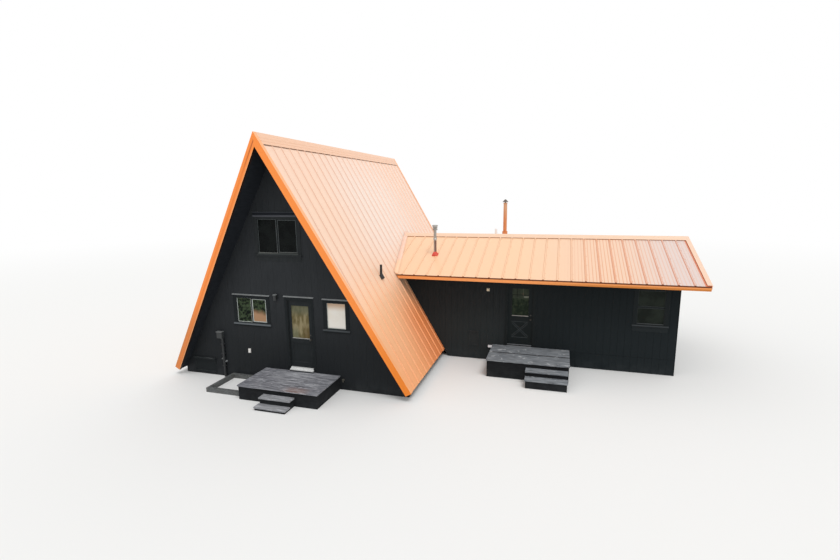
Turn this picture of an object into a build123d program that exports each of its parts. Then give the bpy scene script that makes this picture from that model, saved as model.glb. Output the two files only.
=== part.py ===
from build123d import *
import os
from math import atan2, cos, degrees, sin, tan

# A-frame cabin with a low gabled wing, two entry decks and ribbed sheet roofs.
# Millimetres. X to the right, Y to the back, Z up from level ground.
# The origin lies on the ground, under the ridge, in the outer face of the front gable wall.

# Gap left where one piece is seated on another
seat_gap = 0.3

# Steep main roof, sized to the flat of its sheet
half_span = 3910
foot_z = 260
apex_z = 7136
main_length = 9350
foot_overhang = 300
ridge_overhang = 886
rear_overhang = 350
main_board = 155
main_first_rib = -327

# Walls, floors and footings
wall_thickness = 150
floor_thickness = 200
main_floor_z = 533
loft_floor_z = 3050
footing_width = 250
footing_inset = 260

# Ribbed roofing sheet
sheet_thickness = 3
sheet_drip = 20
sheet_start = 30
rib_height = 20
rib_base = 64
rib_top = 24
rib_pitch = 412

# Caps and edge trims in folded sheet
trim_thickness = 3
trim_lap = 110
trim_return = 50
fascia_thickness = 22
fascia_height = 145
cap_wing = 310
cap_bead = 8
cap_bead_shares = (0.36, 0.68)
valley_leg = 85

# Wing
wing_front_y = 3555
wing_depth = 4860
wing_right_x = 11095
wing_eave_z = 2950
wing_rise = 1080
wing_overhang = 620
wing_end_overhang = 605
wing_board = 120
wing_floor_z = 600

# Doors
leaf_thickness = 44
leaf_height = 2030
leaf_rise = 15
leaf_recess = 30
door_gap = 5
latch_gap = 7
jamb_thickness = 30
stop_lap = 10
stop_depth = 17
casing_width = 85
casing_lap = 30
casing_thickness = 20
pin_offset = 6
barrel_radius = 5.7
barrel_length = 90
barrel_shares = (0.1, 0.5, 0.88)
panel_recess = 15
batten_width = 60
front_door_x = 84
front_door_width = 762
front_glass_margin = 90
front_glass_low = 872
front_glass_high = 1872
front_panel_margin = 100
front_panel_low = 160
front_panel_high = 740
wing_door_x = 6060
wing_door_width = 800
wing_glass_margin = 130
wing_glass_low = 955
wing_glass_high = 1885
wing_panel_margin = 130
wing_panel_low = 245
wing_panel_high = 765
threshold_reach = 75
threshold_fall = 12
threshold_drop = 42
knob_height = 860
knob_backset = 62
knob_radius = 26
rose_radius = 30
rose_thickness = 7
neck_radius = 10
neck_length = 45

# Windows
frame_depth = 70
frame_bar = 32
sash_bar = 24
sash_front = 12
sash_depth = 40
glass_thickness = 6
glass_set = 22
head_casing = 60
sill_height = 60
sill_reach = 45
sill_ear = 15
flashing_height = 14
flashing_lip = 12
low_apron = 95
deep_apron = 200
header_board = 90

# Window openings: left, right, bottom, top. The upper ones hang from the apex.
upper_window_left = -765
upper_window_right = 573
upper_window_drop = 2196
upper_window_height = 1035
left_window_hole = (-1690, -600, 1785, 2590)
right_window_hole = (1325, 1970, 1785, 2590)
wing_window_hole = (9925, 10745, 1545, 2650)
rear_left_hole = (-1900, -810, 1785, 2590)
rear_right_hole = (810, 1900, 1785, 2590)
wing_rear_hole_a = (5900, 6720, 1545, 2650)
wing_rear_hole_b = (9925, 10745, 1545, 2650)

# Decks and steps
deck_board = 38
deck_lip = 25
skirt_thickness = 38
step_count = 2
joist_shares = (0, 1 / 3, 2 / 3, 1)
front_deck_left = -790
front_deck_right = 1690
front_deck_depth = 1373
front_deck_z = 422
front_step_left = 50
front_step_right = 1000
front_step_going = 235
front_step_rise = 164
wing_deck_left = 5585
wing_deck_right = 8045
wing_deck_depth = 1520
wing_deck_z = 554
wing_step_left = 6790
wing_step_right = 8000
wing_step_going = 300
wing_step_rise = 147

# Pipes through the roofs
vent_run = 2335
vent_y = 1780
vent_radius = 38
vent_rise = 390
vent_boot_plate = 160
flue_from_valley = 1642
flue_y = 4281
flue_radius = 50
flue_rise = 880
flue_cap_radius = 100
flue_cap_height = 175
flue_neck_radius = 65
flue_band_shares = ((0.0, 0.1), (0.36, 0.46), (0.7, 0.95))
flue_band_lip = 0.05
collar_radius = 80
collar_height = 38
collar_rise = 560
chimney_from_valley = 3734
chimney_behind_ridge = 1205
chimney_radius = 70
chimney_sleeve_radius = 102
chimney_rise = 1540
chimney_sleeve_rise = 450
chimney_cap_radius = 115
chimney_cap_shares = (
    (0, 0), (0.72, 0), (0.72, 0.25), (0.25, 0.25), (0.25, 0.5), (1, 0.5), (1, 0.55), (0.13, 1.4), (0, 1.4))
chimney_boot_plate = 280
white_pipe_from_valley = 3384
white_pipe_behind_ridge = 1205
white_pipe_radius = 45
white_pipe_rise = 545
white_boot_plate = 180
boot_plate = 200
boot_rise = 60
boot_flare = 1.6

# Fittings on the walls
lamp_radius = 52
lamp_height = 170
lamp_from_door = 350
lamp_z = 2567
lamp_stand = 76
disc_radius = 68
disc_height = 62
disc_from_door = 650
disc_z = 2422
outlet_width = 78
outlet_height = 130
outlet_depth = 38
outlet_z = 920
outlet_from_window = 370
wing_outlet_z = 477
wing_outlet_from_door = 565
meter_from_curb = 315
meter_width = 190
meter_height = 200
meter_depth = 110
meter_lid_lap = 10
meter_z = 1250
conduit_radius = 38
conduit_stand = 12
conduit_offset = 62
hatch_from_foot = 470
hatch_from_conduit = 347
hatch_top = 500
hatch_ledge = 70
hatch_board = 45
hatch_bottom = 60
wing_hatch_from_door = 1290
wing_hatch_width = 350
wing_hatch_bottom = 450
wing_hatch_top = 930
bib_x = 1796
bib_z = 306
bib_length = 75
bib_stem_radius = 10
bib_wheel_thickness = 8
curb_width = 1205
curb_reach = 1190
curb_timber = 95
curb_height = 130
curb_gap = 15

# Derived places
reach = 20000
standing = (Align.CENTER, Align.CENTER, Align.MIN)
slope = atan2(apex_z - foot_z, half_span)
slope_length = half_span / cos(slope)
front_skew = (ridge_overhang - foot_overhang) / slope_length
main_rear_edge = main_length + rear_overhang
wing_half = wing_depth / 2 + wing_overhang
wing_ridge_y = wing_front_y + wing_depth / 2
wing_rear_y = wing_front_y + wing_depth
wing_apex_z = wing_eave_z + wing_rise
wing_slope = atan2(wing_rise, wing_half)
wing_slope_length = wing_half / cos(wing_slope)
wing_end_x = wing_right_x + wing_end_overhang
board_top = -sheet_thickness
main_under = board_top - main_board
wing_under = board_top - wing_board
rib_plane = rib_height + trim_thickness + 2 * seat_gap
upper_top = apex_z - upper_window_drop
upper_bottom = upper_top - upper_window_height
upper_half = (upper_window_right - upper_window_left) / 2
upper_window_hole = (upper_window_left, upper_window_right, upper_bottom, upper_top)
rear_upper_hole = (-upper_half, upper_half, upper_bottom, upper_top)

os.makedirs("parts", exist_ok=True)


def save(shape, name):
    if isinstance(shape, list):
        shape = Compound(children=shape)
    export_step(shape, f"parts/{name}.step")


def block(x0, x1, y0, y1, z0, z1):
    """Box between two opposite corners."""
    low = (Align.MIN, Align.MIN, Align.MIN)
    return Pos(x0, y0, z0) * Box(x1 - x0, y1 - y0, z1 - z0, align=low)


def along_y(points, y0, y1):
    """Closed x, z outline drawn at y0 and carried to y1."""
    wire = Polyline(*[(x, y0, z) for x, z in points], close=True)
    return extrude(make_face(wire), amount=y1 - y0, dir=(0, 1, 0))


def along_x(points, x0, x1):
    """Closed y, z outline drawn at x0 and carried to x1."""
    wire = Polyline(*[(x0, y, z) for y, z in points], close=True)
    return extrude(make_face(wire), amount=x1 - x0, dir=(1, 0, 0))


def upright(x, y, z, radius, height):
    """Round bar standing on x, y, z."""
    return Pos(x, y, z) * Cylinder(radius, height, align=standing)


def turned(points, x, y, z):
    """Solid of revolution about an upright axis, from radius, height points."""
    wire = Polyline(*[(r, 0, h) for r, h in points], close=True)
    return Pos(x, y, z) * revolve(make_face(wire), Axis.Z)


def main_x(z):
    """Half width of the main roof's sheet at a height."""
    return half_span * (apex_z - z) / (apex_z - foot_z)


# Roof planes
class Slope:
    """One roof plane, with the span and the first rib of its sheet."""

    def __init__(self, ridge, down, out, along, length, span, first_rib):
        self.ridge = Vector(*ridge)
        self.down = Vector(*down)
        self.out = Vector(*out)
        self.along = Vector(*along)
        self.length = length
        self.span = span
        self.first_rib = first_rib

    def point(self, distance, along, height):
        """Point at a distance down the slope, a place along the ridge and a height off the sheet."""
        return self.ridge + self.down * distance + self.along * along + self.out * height

    def prism(self, outline, start, end, skew=0.0):
        """Outline in along, height carried down the slope from start to end, drifting along by the skew."""
        wire = Polyline(*[self.point(start, a + skew * start, h) for a, h in outline], close=True)
        way = self.down + self.along * skew
        return extrude(make_face(wire), amount=(end - start) * way.length, dir=way.normalized())

    def lengthwise(self, outline, a0, a1):
        """Outline in down, height carried along the ridge from a0 to a1."""
        wire = Polyline(*[self.point(d, a0, h) for d, h in outline], close=True)
        return extrude(make_face(wire), amount=a1 - a0, dir=self.along)

    def height_under(self, x, y):
        """Height of the flat of the sheet at a point in plan."""
        away = (x - self.ridge.X) * self.out.X + (y - self.ridge.Y) * self.out.Y
        return self.ridge.Z - away / self.out.Z

    def ribbed_line(self, lift):
        """Upper line of the ribbed sheet in along, height."""
        a0, a1 = self.span
        line = [(a0, lift)]
        count = int((a1 - self.first_rib) / rib_pitch) + 1
        for number in range(-int((self.first_rib - a0) / rib_pitch), count):
            centre = self.first_rib + number * rib_pitch
            if a0 + rib_base < centre < a1 - rib_base:
                line.append((centre - rib_base / 2, lift))
                line.append((centre - rib_top / 2, lift + rib_height))
                line.append((centre + rib_top / 2, lift + rib_height))
                line.append((centre + rib_base / 2, lift))
        line.append((a1, lift))
        return line

    def sheet(self, start, end):
        """Folded sheet with open ribs running down the slope."""
        top = self.ribbed_line(0)
        under = [(a, h - sheet_thickness) for a, h in reversed(top)]
        return self.prism(top + under, start, end)

    def below_sheet(self):
        """All the space under the ribbed sheet, with a seat gap, for pieces that are scribed to it."""
        line = self.ribbed_line(seat_gap)
        a0, a1 = self.span
        deep = -apex_z
        return self.prism(line + [(a1, deep), (a0, deep)], -rib_pitch, self.length * 1.4)

    def beyond(self, height):
        """Everything further out than a height off the plane."""
        outline = [(-reach, height), (reach, height), (reach, reach), (-reach, reach)]
        return self.lengthwise(outline, -reach, reach)


def main_slope(side):
    return Slope(
        (0, 0, apex_z), (side * cos(slope), 0, -sin(slope)), (side * sin(slope), 0, cos(slope)), (0, 1, 0),
        slope_length, (-ridge_overhang, main_rear_edge), main_first_rib)


def wing_slope_of(side):
    return Slope(
        (0, wing_ridge_y, wing_apex_z), (0, side * cos(wing_slope), -sin(wing_slope)),
        (0, side * sin(wing_slope), cos(wing_slope)), (1, 0, 0),
        wing_slope_length, (main_x(wing_apex_z) - rib_pitch, wing_end_x), wing_end_x)


def side_space(side):
    """Everything to one side of the main ridge."""
    if side > 0:
        return block(0, reach, -reach, reach, -reach, reach)
    return block(-reach, 0, -reach, reach, -reach, reach)


def wing_space(side, inner=0.0, outer=reach):
    """Everything on one side of the wing ridge between two distances from it."""
    near, far = sorted([wing_ridge_y + side * inner, wing_ridge_y + side * outer])
    return block(-reach, reach, near, far, -reach, reach)


left_slope = main_slope(-1)
right_slope = main_slope(1)
wing_front_slope = wing_slope_of(-1)
wing_rear_slope = wing_slope_of(1)
scribe = right_slope.below_sheet()
clear_of_ribs = right_slope.beyond(rib_plane)


# Main roof boards, sheets, trims and cap
def ahead(plane, offset=0.0):
    """Everything in front of the leaning front edge of a main slope, moved back by an offset."""
    edge = offset - ridge_overhang
    outline = [(-reach, -apex_z), (edge, -apex_z), (edge, apex_z), (-reach, apex_z)]
    return plane.prism(outline, -apex_z, 2 * slope_length, front_skew)


def main_boards(side, plane):
    start = -2 * main_board
    end = slope_length
    outline = [(start, board_top), (end, board_top), (end, main_under), (start, main_under)]
    boards = plane.lengthwise(outline, -ridge_overhang, main_rear_edge) & side_space(side)
    return boards - ahead(plane)


def cap_line(lift):
    """Line of one cap wing in down, height, with two small beads."""
    base = rib_height + seat_gap + lift
    line = [(-cap_wing, base)]
    for share in cap_bead_shares:
        middle = cap_wing * share
        line.append((middle - 2 * cap_bead, base))
        line.append((middle, base + cap_bead))
        line.append((middle + 2 * cap_bead, base))
    line.append((cap_wing, base))
    return line


def cap_wing_on(plane, a0, a1):
    top = cap_line(trim_thickness)
    under = [(d, h - trim_thickness) for d, h in reversed(top)]
    return plane.lengthwise(top + under, a0, a1)


def rake_outline(edge, way, under):
    """Edge trim in along, height: a lap on the ribs, a face over the boards and a return under them."""
    top = rib_height + seat_gap + trim_thickness
    low = under - seat_gap
    face = edge - way * (seat_gap + fascia_thickness)
    return [
        (edge + way * trim_lap, top),
        (face, top),
        (face, low - trim_thickness),
        (edge + way * trim_return, low - trim_thickness),
        (edge + way * trim_return, low),
        (edge - way * seat_gap, low),
        (edge - way * seat_gap, top - trim_thickness),
        (edge + way * trim_lap, top - trim_thickness),
    ]


def main_rake(edge, way, skew):
    """Both legs of a main gable trim, mitred at the ridge."""
    outline = rake_outline(edge, way, main_under)
    legs = []
    for side, plane in ((-1, left_slope), (1, right_slope)):
        leg = plane.prism(outline, -2 * main_board, slope_length + sheet_drip, skew)
        legs.append(leg & side_space(side))
    return legs[0] + legs[1]


cap_halves = []
for side, plane, name in ((-1, left_slope, "left"), (1, right_slope, "right")):
    save(main_boards(side, plane), f"{name}_roof_boards")
    save(plane.sheet(sheet_start, slope_length + sheet_drip) - ahead(plane), f"{name}_roof_sheet")
    cap = cap_wing_on(plane, -ridge_overhang, main_rear_edge - trim_lap - seat_gap) & side_space(side)
    cap_halves.append(cap - ahead(plane, trim_lap + seat_gap))
save(cap_halves[0] + cap_halves[1], "ridge_cap")
save(main_rake(-ridge_overhang, 1, front_skew), "front_rake_trim")
save(main_rake(main_rear_edge, -1, 0.0), "rear_rake_trim")


# Footings under the roof feet, and the floors
def under_boards(z):
    """Inner half width of the main roof boards at a height."""
    return main_x(z) + (main_under - seat_gap) / sin(slope)


def heel(x):
    """Height of the underside of the main roof boards at a half width."""
    return apex_z - x * tan(slope) + (main_under - seat_gap) / cos(slope)


def footing(side):
    """Strip that carries one roof foot, cut to the slope of the boards."""
    points = [
        (side * footing_inner, 0), (side * footing_outer, 0),
        (side * footing_outer, heel(footing_outer)), (side * footing_inner, heel(footing_inner))]
    return along_y(points, floor_front, floor_rear)


footing_outer = half_span - footing_inset
footing_inner = footing_outer - footing_width
floor_front = wall_thickness + seat_gap
floor_rear = main_length - wall_thickness - seat_gap
floor_edge = footing_inner - seat_gap
loft_edge = under_boards(loft_floor_z)
save([footing(-1), footing(1)], "side_footings")
save(block(-floor_edge, floor_edge, floor_front, floor_rear, main_floor_z - floor_thickness, main_floor_z),
     "main_floor")
save(block(-loft_edge, loft_edge, floor_front, floor_rear, loft_floor_z - floor_thickness, loft_floor_z),
     "loft_floor")


# Walls
def gable_wall(y0):
    """Whole gable wall under the boards, plumb below the feet of the roof."""
    side = half_span + main_under * sin(slope) - seat_gap
    points = [(-under_boards(0), 0), (under_boards(0), 0), (0, heel(0))]
    wall = along_y(points, y0, y0 + wall_thickness)
    return wall & block(-side, side, y0 - 1, y0 + wall_thickness + 1, 0, apex_z)


def cut_hole(wall, hole, y0):
    """Wall with a window opening cut through it."""
    x0, x1, z0, z1 = hole
    return wall - block(x0, x1, y0 - 1, y0 + wall_thickness + 1, z0, z1)


def door_hole(x, width, floor_z):
    """Clear hole in the wall round a leaf and its jambs."""
    side = jamb_thickness + seat_gap
    top = floor_z + leaf_rise + leaf_height + door_gap + side
    return (x - door_gap - side, x + width + latch_gap + side, floor_z, top)


def split_wall(wall, hole, y0):
    """Pieces of a wall left of, right of, under and over a doorway."""
    x0, x1, z0, z1 = hole
    y1 = y0 + wall_thickness + 1
    left = wall & block(-reach, x0, y0 - 1, y1, 0, z1)
    right = wall & block(x1, reach, y0 - 1, y1, 0, z1)
    sill = wall & block(x0 + seat_gap, x1 - seat_gap, y0 - 1, y1, 0, z0)
    head = wall & block(-reach, reach, y0 - 1, y1, z1 + seat_gap, reach)
    return left, right, sill, head


def wing_ceiling(y):
    """Height of the underside of the wing roof boards at a depth."""
    drop = abs(y - wing_ridge_y) * tan(wing_slope)
    return wing_apex_z - drop + (wing_under - seat_gap) / cos(wing_slope)


def wing_long_wall(y0):
    """Wing wall along the building, scribed to the ribs of the main slope."""
    y1 = y0 + wall_thickness
    points = [(y0, 0), (y1, 0), (y1, wing_ceiling(y1)), (y0, wing_ceiling(y0))]
    return along_x(points, 0, wing_right_x) - scribe


front_door_hole = door_hole(front_door_x, front_door_width, main_floor_z)
wing_door_hole = door_hole(wing_door_x, wing_door_width, wing_floor_z)
left_part, right_part, front_sill, gable_part = split_wall(gable_wall(0), front_door_hole, 0)
save(cut_hole(left_part, left_window_hole, 0), "front_wall_left")
save(cut_hole(right_part, right_window_hole, 0), "front_wall_right")
save(cut_hole(gable_part, upper_window_hole, 0), "front_gable_wall")

rear_face = main_length - wall_thickness
rear_wall = gable_wall(rear_face)
for hole in (rear_upper_hole, rear_left_hole, rear_right_hole):
    rear_wall = cut_hole(rear_wall, hole, rear_face)
save(rear_wall, "rear_gable_wall")

left_part, right_part, wing_sill, head_part = split_wall(
    wing_long_wall(wing_front_y), wing_door_hole, wing_front_y)
save(left_part, "wing_front_wall_left")
save(cut_hole(right_part, wing_window_hole, wing_front_y), "wing_front_wall_right")
save(head_part, "wing_front_wall_head")
save([front_sill, wing_sill], "door_sill_walls")

wing_rear_face = wing_rear_y - wall_thickness
wing_rear_wall = wing_long_wall(wing_rear_face)
for hole in (wing_rear_hole_a, wing_rear_hole_b):
    wing_rear_wall = cut_hole(wing_rear_wall, hole, wing_rear_face)
save(wing_rear_wall, "wing_rear_wall")

end_front = wing_front_y + wall_thickness + seat_gap
end_rear = wing_rear_face - seat_gap
wing_inner_x = wing_right_x - wall_thickness
end_outline = [
    (end_front, 0), (end_rear, 0), (end_rear, wing_ceiling(end_rear)),
    (wing_ridge_y, wing_ceiling(wing_ridge_y)), (end_front, wing_ceiling(end_front))]
save(along_x(end_outline, wing_inner_x, wing_right_x), "wing_end_wall")
wing_slab = block(
    0, wing_inner_x - seat_gap, end_front, end_rear, wing_floor_z - floor_thickness, wing_floor_z)
save(wing_slab - scribe, "wing_floor")


# Wing roof
def wing_boards(side, plane):
    start = -2 * wing_board
    end = plane.length + wing_board
    outline = [(start, board_top), (end, board_top), (end, wing_under), (start, wing_under)]
    boards = plane.lengthwise(outline, 0, wing_end_x) & wing_space(side, seat_gap / 2, wing_half)
    return boards & clear_of_ribs


def eave_fascia(side):
    """Board under the sheet's edge along one wing eave."""
    near = wing_half + seat_gap
    far = near + fascia_thickness
    y0, y1 = sorted([wing_ridge_y + side * near, wing_ridge_y + side * far])
    top = wing_apex_z - far * tan(wing_slope) - (sheet_thickness + seat_gap) / cos(wing_slope)
    return block(0, wing_end_x, y0, y1, top - fascia_height, top) & clear_of_ribs


def valley_start(plane, lift):
    """Point on the wing ridge where both sheets, raised by a lift, meet."""
    z = wing_apex_z + lift / cos(wing_slope)
    x = (apex_z + lift / cos(slope) - z) / tan(slope)
    return Vector(x, wing_ridge_y, z)


def valley(side, plane):
    """Folded strip where one wing slope dies into the main slope."""
    lift = rib_height + 2 * seat_gap
    line = right_slope.out.cross(plane.out).normalized()
    if line.Z > 0:
        line = line * -1
    start = valley_start(plane, lift)
    up_main = right_slope.out.cross(line).normalized() * valley_leg
    if up_main.Z < 0:
        up_main = up_main * -1
    across_wing = plane.out.cross(line).normalized() * valley_leg
    if across_wing.X < 0:
        across_wing = across_wing * -1
    run = (wing_half + fascia_thickness) / abs(line.Y)
    cap_edge = cap_wing * cos(wing_slope) + (lift + trim_thickness + cap_bead) * sin(wing_slope) + seat_gap
    strips = []
    for leg, normal, inner in ((up_main, right_slope.out, 0.0), (across_wing, plane.out, cap_edge)):
        corners = [start, start + line * run, start + line * run + leg, start + leg]
        strip = extrude(make_face(Polyline(*corners, close=True)), amount=trim_thickness, dir=normal)
        strips.append(strip & wing_space(side, inner))
    return strips[0] + strips[1]


wing_sides = ((-1, wing_front_slope), (1, wing_rear_slope))
wing_timber = []
wing_sheets = []
wing_cap = []
wing_rake = []
for side, plane in wing_sides:
    wing_timber.append(wing_boards(side, plane))
    eave_edge = plane.length + fascia_thickness + sheet_drip
    wing_sheets.append(plane.sheet(sheet_start, eave_edge) & clear_of_ribs)
    cap = cap_wing_on(plane, main_x(wing_apex_z), wing_end_x - trim_lap - seat_gap)
    wing_cap.append(cap & wing_space(side) & clear_of_ribs)
    outline = rake_outline(wing_end_x, -1, wing_under)
    rake = plane.prism(outline, -2 * wing_board, plane.length + fascia_thickness)
    wing_rake.append(rake & wing_space(side))
save(wing_timber, "wing_roof_boards")
save(wing_sheets, "wing_roof_sheets")
save(wing_cap[0] + wing_cap[1], "wing_ridge_cap")
save(wing_rake[0] + wing_rake[1], "wing_rake_trim")
save([eave_fascia(-1), eave_fascia(1)], "wing_eave_fascias")
save([valley(side, plane) for side, plane in wing_sides], "valley_flashing")


# Windows
def span(face_y, way, near, far):
    """Low and high depth of a slab between two distances out from a wall face."""
    return sorted([face_y + way * near, face_y + way * far])


def ring(hole, bar, y0, y1):
    """Rectangular frame inside a hole."""
    x0, x1, z0, z1 = hole
    inner = block(x0 + bar, x1 - bar, y0 - 1, y1 + 1, z0 + bar, z1 - bar)
    return block(x0, x1, y0, y1, z0, z1) - inner


def inset(hole, amount):
    x0, x1, z0, z1 = hole
    return (x0 + amount, x1 - amount, z0 + amount, z1 - amount)


def window(hole, face_y, way, kind, apron, header=0.0):
    """Frame with casing, sill, apron and head flashing, and its panes. Way points out of the wall."""
    x0, x1, z0, z1 = hole
    left = x0 - casing_width
    right = x1 + casing_width
    body = ring(inset(hole, seat_gap), frame_bar, *span(face_y, way, casing_thickness, -frame_depth))
    c0, c1 = span(face_y, way, 0, casing_thickness)
    casing = block(left, right, c0, c1, z0 - apron, z1 + head_casing)
    body += casing - block(x0 + 1, x1 - 1, c0 - 1, c1 + 1, z0 + 1, z1 - 1)
    s0, s1 = span(face_y, way, 0, sill_reach)
    body += block(left - sill_ear, right + sill_ear, s0, s1, z0 - sill_height, z0)
    top = z1 + head_casing
    f0, f1 = span(face_y, way, 0, casing_thickness + flashing_lip)
    body += block(left - sill_ear, right + sill_ear, f0, f1, top, top + flashing_height)
    if header:
        low = top + flashing_height
        top = low + header
        body += block(left, right, c0, c1, low, top)
        body += block(left - sill_ear, right + sill_ear, f0, f1, top, top + flashing_height)
    clear = inset(hole, seat_gap + frame_bar)
    m0, m1 = span(face_y, way, -sash_front, -sash_front - sash_depth)
    mid_x = (x0 + x1) / 2
    mid_z = (z0 + z1) / 2
    openings = [clear]
    if kind == "slider":
        body += ring((mid_x - sash_bar, clear[1] + 1, clear[2] - 1, clear[3] + 1), sash_bar + 1, m0, m1)
        right_pane = inset((mid_x, clear[1], clear[2], clear[3]), sash_bar)
        openings = [(clear[0], mid_x - sash_bar, clear[2], clear[3]), right_pane]
    if kind == "double_hung":
        body += block(clear[0] - 1, clear[1] + 1, m0, m1, mid_z - sash_bar, mid_z + sash_bar)
        lower = (clear[0], clear[1], clear[2], mid_z - sash_bar)
        openings = [lower, (clear[0], clear[1], mid_z + sash_bar, clear[3])]
    glass = []
    g0, g1 = span(face_y, way, -glass_set, -glass_set - glass_thickness)
    for opening in openings:
        x0, x1, z0, z1 = inset(opening, seat_gap)
        glass.append(block(x0, x1, g0, g1, z0, z1))
    return body, glass


panes = []
front_windows = [
    ("upper_window", upper_window_hole, 0, "slider", deep_apron, header_board),
    ("left_window", left_window_hole, 0, "slider", low_apron, 0.0),
    ("right_window", right_window_hole, 0, "fixed", low_apron, 0.0),
    ("wing_window", wing_window_hole, wing_front_y, "double_hung", deep_apron, 0.0),
]
for name, hole, face_y, kind, apron, header in front_windows:
    body, glass = window(hole, face_y, -1, kind, apron, header)
    save(body, name)
    panes += glass
rear_bodies = []
rear_windows = [
    (rear_upper_hole, main_length, "slider", deep_apron),
    (rear_left_hole, main_length, "slider", low_apron),
    (rear_right_hole, main_length, "slider", low_apron),
    (wing_rear_hole_a, wing_rear_y, "double_hung", deep_apron),
    (wing_rear_hole_b, wing_rear_y, "double_hung", deep_apron),
]
for hole, face_y, kind, apron in rear_windows:
    body, glass = window(hole, face_y, 1, kind, apron)
    rear_bodies.append(body)
    panes += glass
save(rear_bodies, "rear_windows")
save(panes, "window_glass")
blind = inset(right_window_hole, sash_bar)
front = frame_depth + seat_gap
save(block(blind[0], blind[1], front, front + glass_thickness, blind[2], blind[3]), "window_blind")


# Doors
def leaf_front(face_y):
    """Depth of the outer face of a leaf."""
    return face_y + leaf_recess


def door_frame(x, width, floor_z, face_y, hole):
    """Jambs, head, stops, casing, head flashing and the fixed hinge barrels."""
    x0, x1, z0, z1 = inset(hole, seat_gap)
    low = floor_z + seat_gap
    back = face_y + wall_thickness
    leaf_top = floor_z + leaf_rise + leaf_height
    clear_left = x - door_gap
    clear_right = x + width + latch_gap
    clear_top = leaf_top + door_gap
    body = block(x0, x1, face_y, back, low, z1)
    body -= block(clear_left, clear_right, face_y - 1, back + 1, low - 1, clear_top)
    stop = block(clear_left - 1, clear_right + 1, face_y, face_y + stop_depth, low, clear_top + 1)
    body += stop - block(x + stop_lap, x + width - stop_lap, face_y - 1, back, low - 1, leaf_top - stop_lap)
    out = casing_width - casing_lap
    lap = casing_lap - door_gap
    front = face_y - casing_thickness
    head = hole[3] + out
    casing = block(hole[0] - out, hole[1] + out, front, face_y, low, head)
    body += casing - block(hole[0] + lap, hole[1] - lap, front - 1, face_y + 1, low - 1, hole[3] - lap)
    ear = out + sill_ear
    body += block(hole[0] - ear, hole[1] + ear, front - flashing_lip, face_y, head, head + flashing_height)
    pin_x = x - door_gap / 2
    pin_y = leaf_front(face_y) + leaf_thickness + pin_offset
    strap_front = pin_y + barrel_radius / 3
    for share in barrel_shares:
        bottom = floor_z + leaf_rise + leaf_height * share
        top = bottom + barrel_length
        body += upright(pin_x, pin_y, bottom, barrel_radius, barrel_length)
        body += block(clear_left - 1, pin_x, strap_front, pin_y + barrel_radius, bottom, top)
    return body


def crossbuck(panel, front):
    """Two flat battens crossed corner to corner in a panel."""
    x0, x1, z0, z1 = panel
    angle = degrees(atan2(z1 - z0, x1 - x0))
    middle = Pos((x0 + x1) / 2, front + panel_recess / 2, (z0 + z1) / 2)
    bars = middle * Rot(0, -angle, 0) * Box(2 * (x1 - x0), panel_recess, batten_width)
    bars += middle * Rot(0, angle, 0) * Box(2 * (x1 - x0), panel_recess, batten_width)
    return bars & block(x0 - 1, x1 + 1, front - 1, front + panel_recess + 1, z0 - 1, z1 + 1)


def door_leaf(x, width, floor_z, face_y, glass_sizes, panel_sizes, crossed):
    """Half glazed leaf with one lower panel, and its pane."""
    front = leaf_front(face_y)
    back = front + leaf_thickness
    z0 = floor_z + leaf_rise
    margin, low, high = glass_sizes
    light = (x + margin, x + width - margin, z0 + low, z0 + high)
    margin, low, high = panel_sizes
    panel = (x + margin, x + width - margin, z0 + low, z0 + high)
    leaf = block(x, x + width, front, back, z0, z0 + leaf_height)
    leaf -= block(light[0], light[1], front - 1, back + 1, light[2], light[3])
    leaf -= block(panel[0], panel[1], front - 1, front + panel_recess, panel[2], panel[3])
    leaf -= block(panel[0], panel[1], back - panel_recess, back + 1, panel[2], panel[3])
    if crossed:
        leaf += crossbuck(panel, front)
    pane_y = front + (leaf_thickness - glass_thickness) / 2
    gx0, gx1, gz0, gz1 = inset(light, seat_gap)
    pane = block(gx0, gx1, pane_y, pane_y + glass_thickness, gz0, gz1)
    return leaf, pane


def knobs(x, floor_z, face_y):
    """Rose, neck and knob on both faces of a leaf."""
    front = leaf_front(face_y)
    z = floor_z + leaf_rise + knob_height
    parts = []
    for way, y in ((-1, front - seat_gap), (1, front + leaf_thickness + seat_gap)):
        plane = Plane(origin=(x, y, z), z_dir=(0, way, 0))
        rose = plane * Cylinder(rose_radius, rose_thickness, align=standing)
        neck = plane * Cylinder(neck_radius, neck_length, align=standing)
        ball = plane * Pos(0, 0, neck_length) * Sphere(knob_radius)
        parts.append(rose + neck + ball)
    return parts


def threshold(x, width, hole, face_y, deck_z, floor_z):
    """Sloped nosing on the deck, and the board that runs in under the leaf."""
    back = face_y - casing_thickness - seat_gap
    front = face_y - threshold_reach
    low = deck_z + seat_gap
    top = floor_z + leaf_rise - door_gap
    crest = top - threshold_drop
    points = [(back, low), (back, crest), (front, crest - threshold_fall), (front, low)]
    nosing = along_x(points, hole[0] + casing_lap, hole[1] - casing_lap)
    side = stop_lap + seat_gap
    board = block(x + side, x + width - side, back - 1, face_y + wall_thickness, floor_z + seat_gap, top)
    return nosing + board


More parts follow.
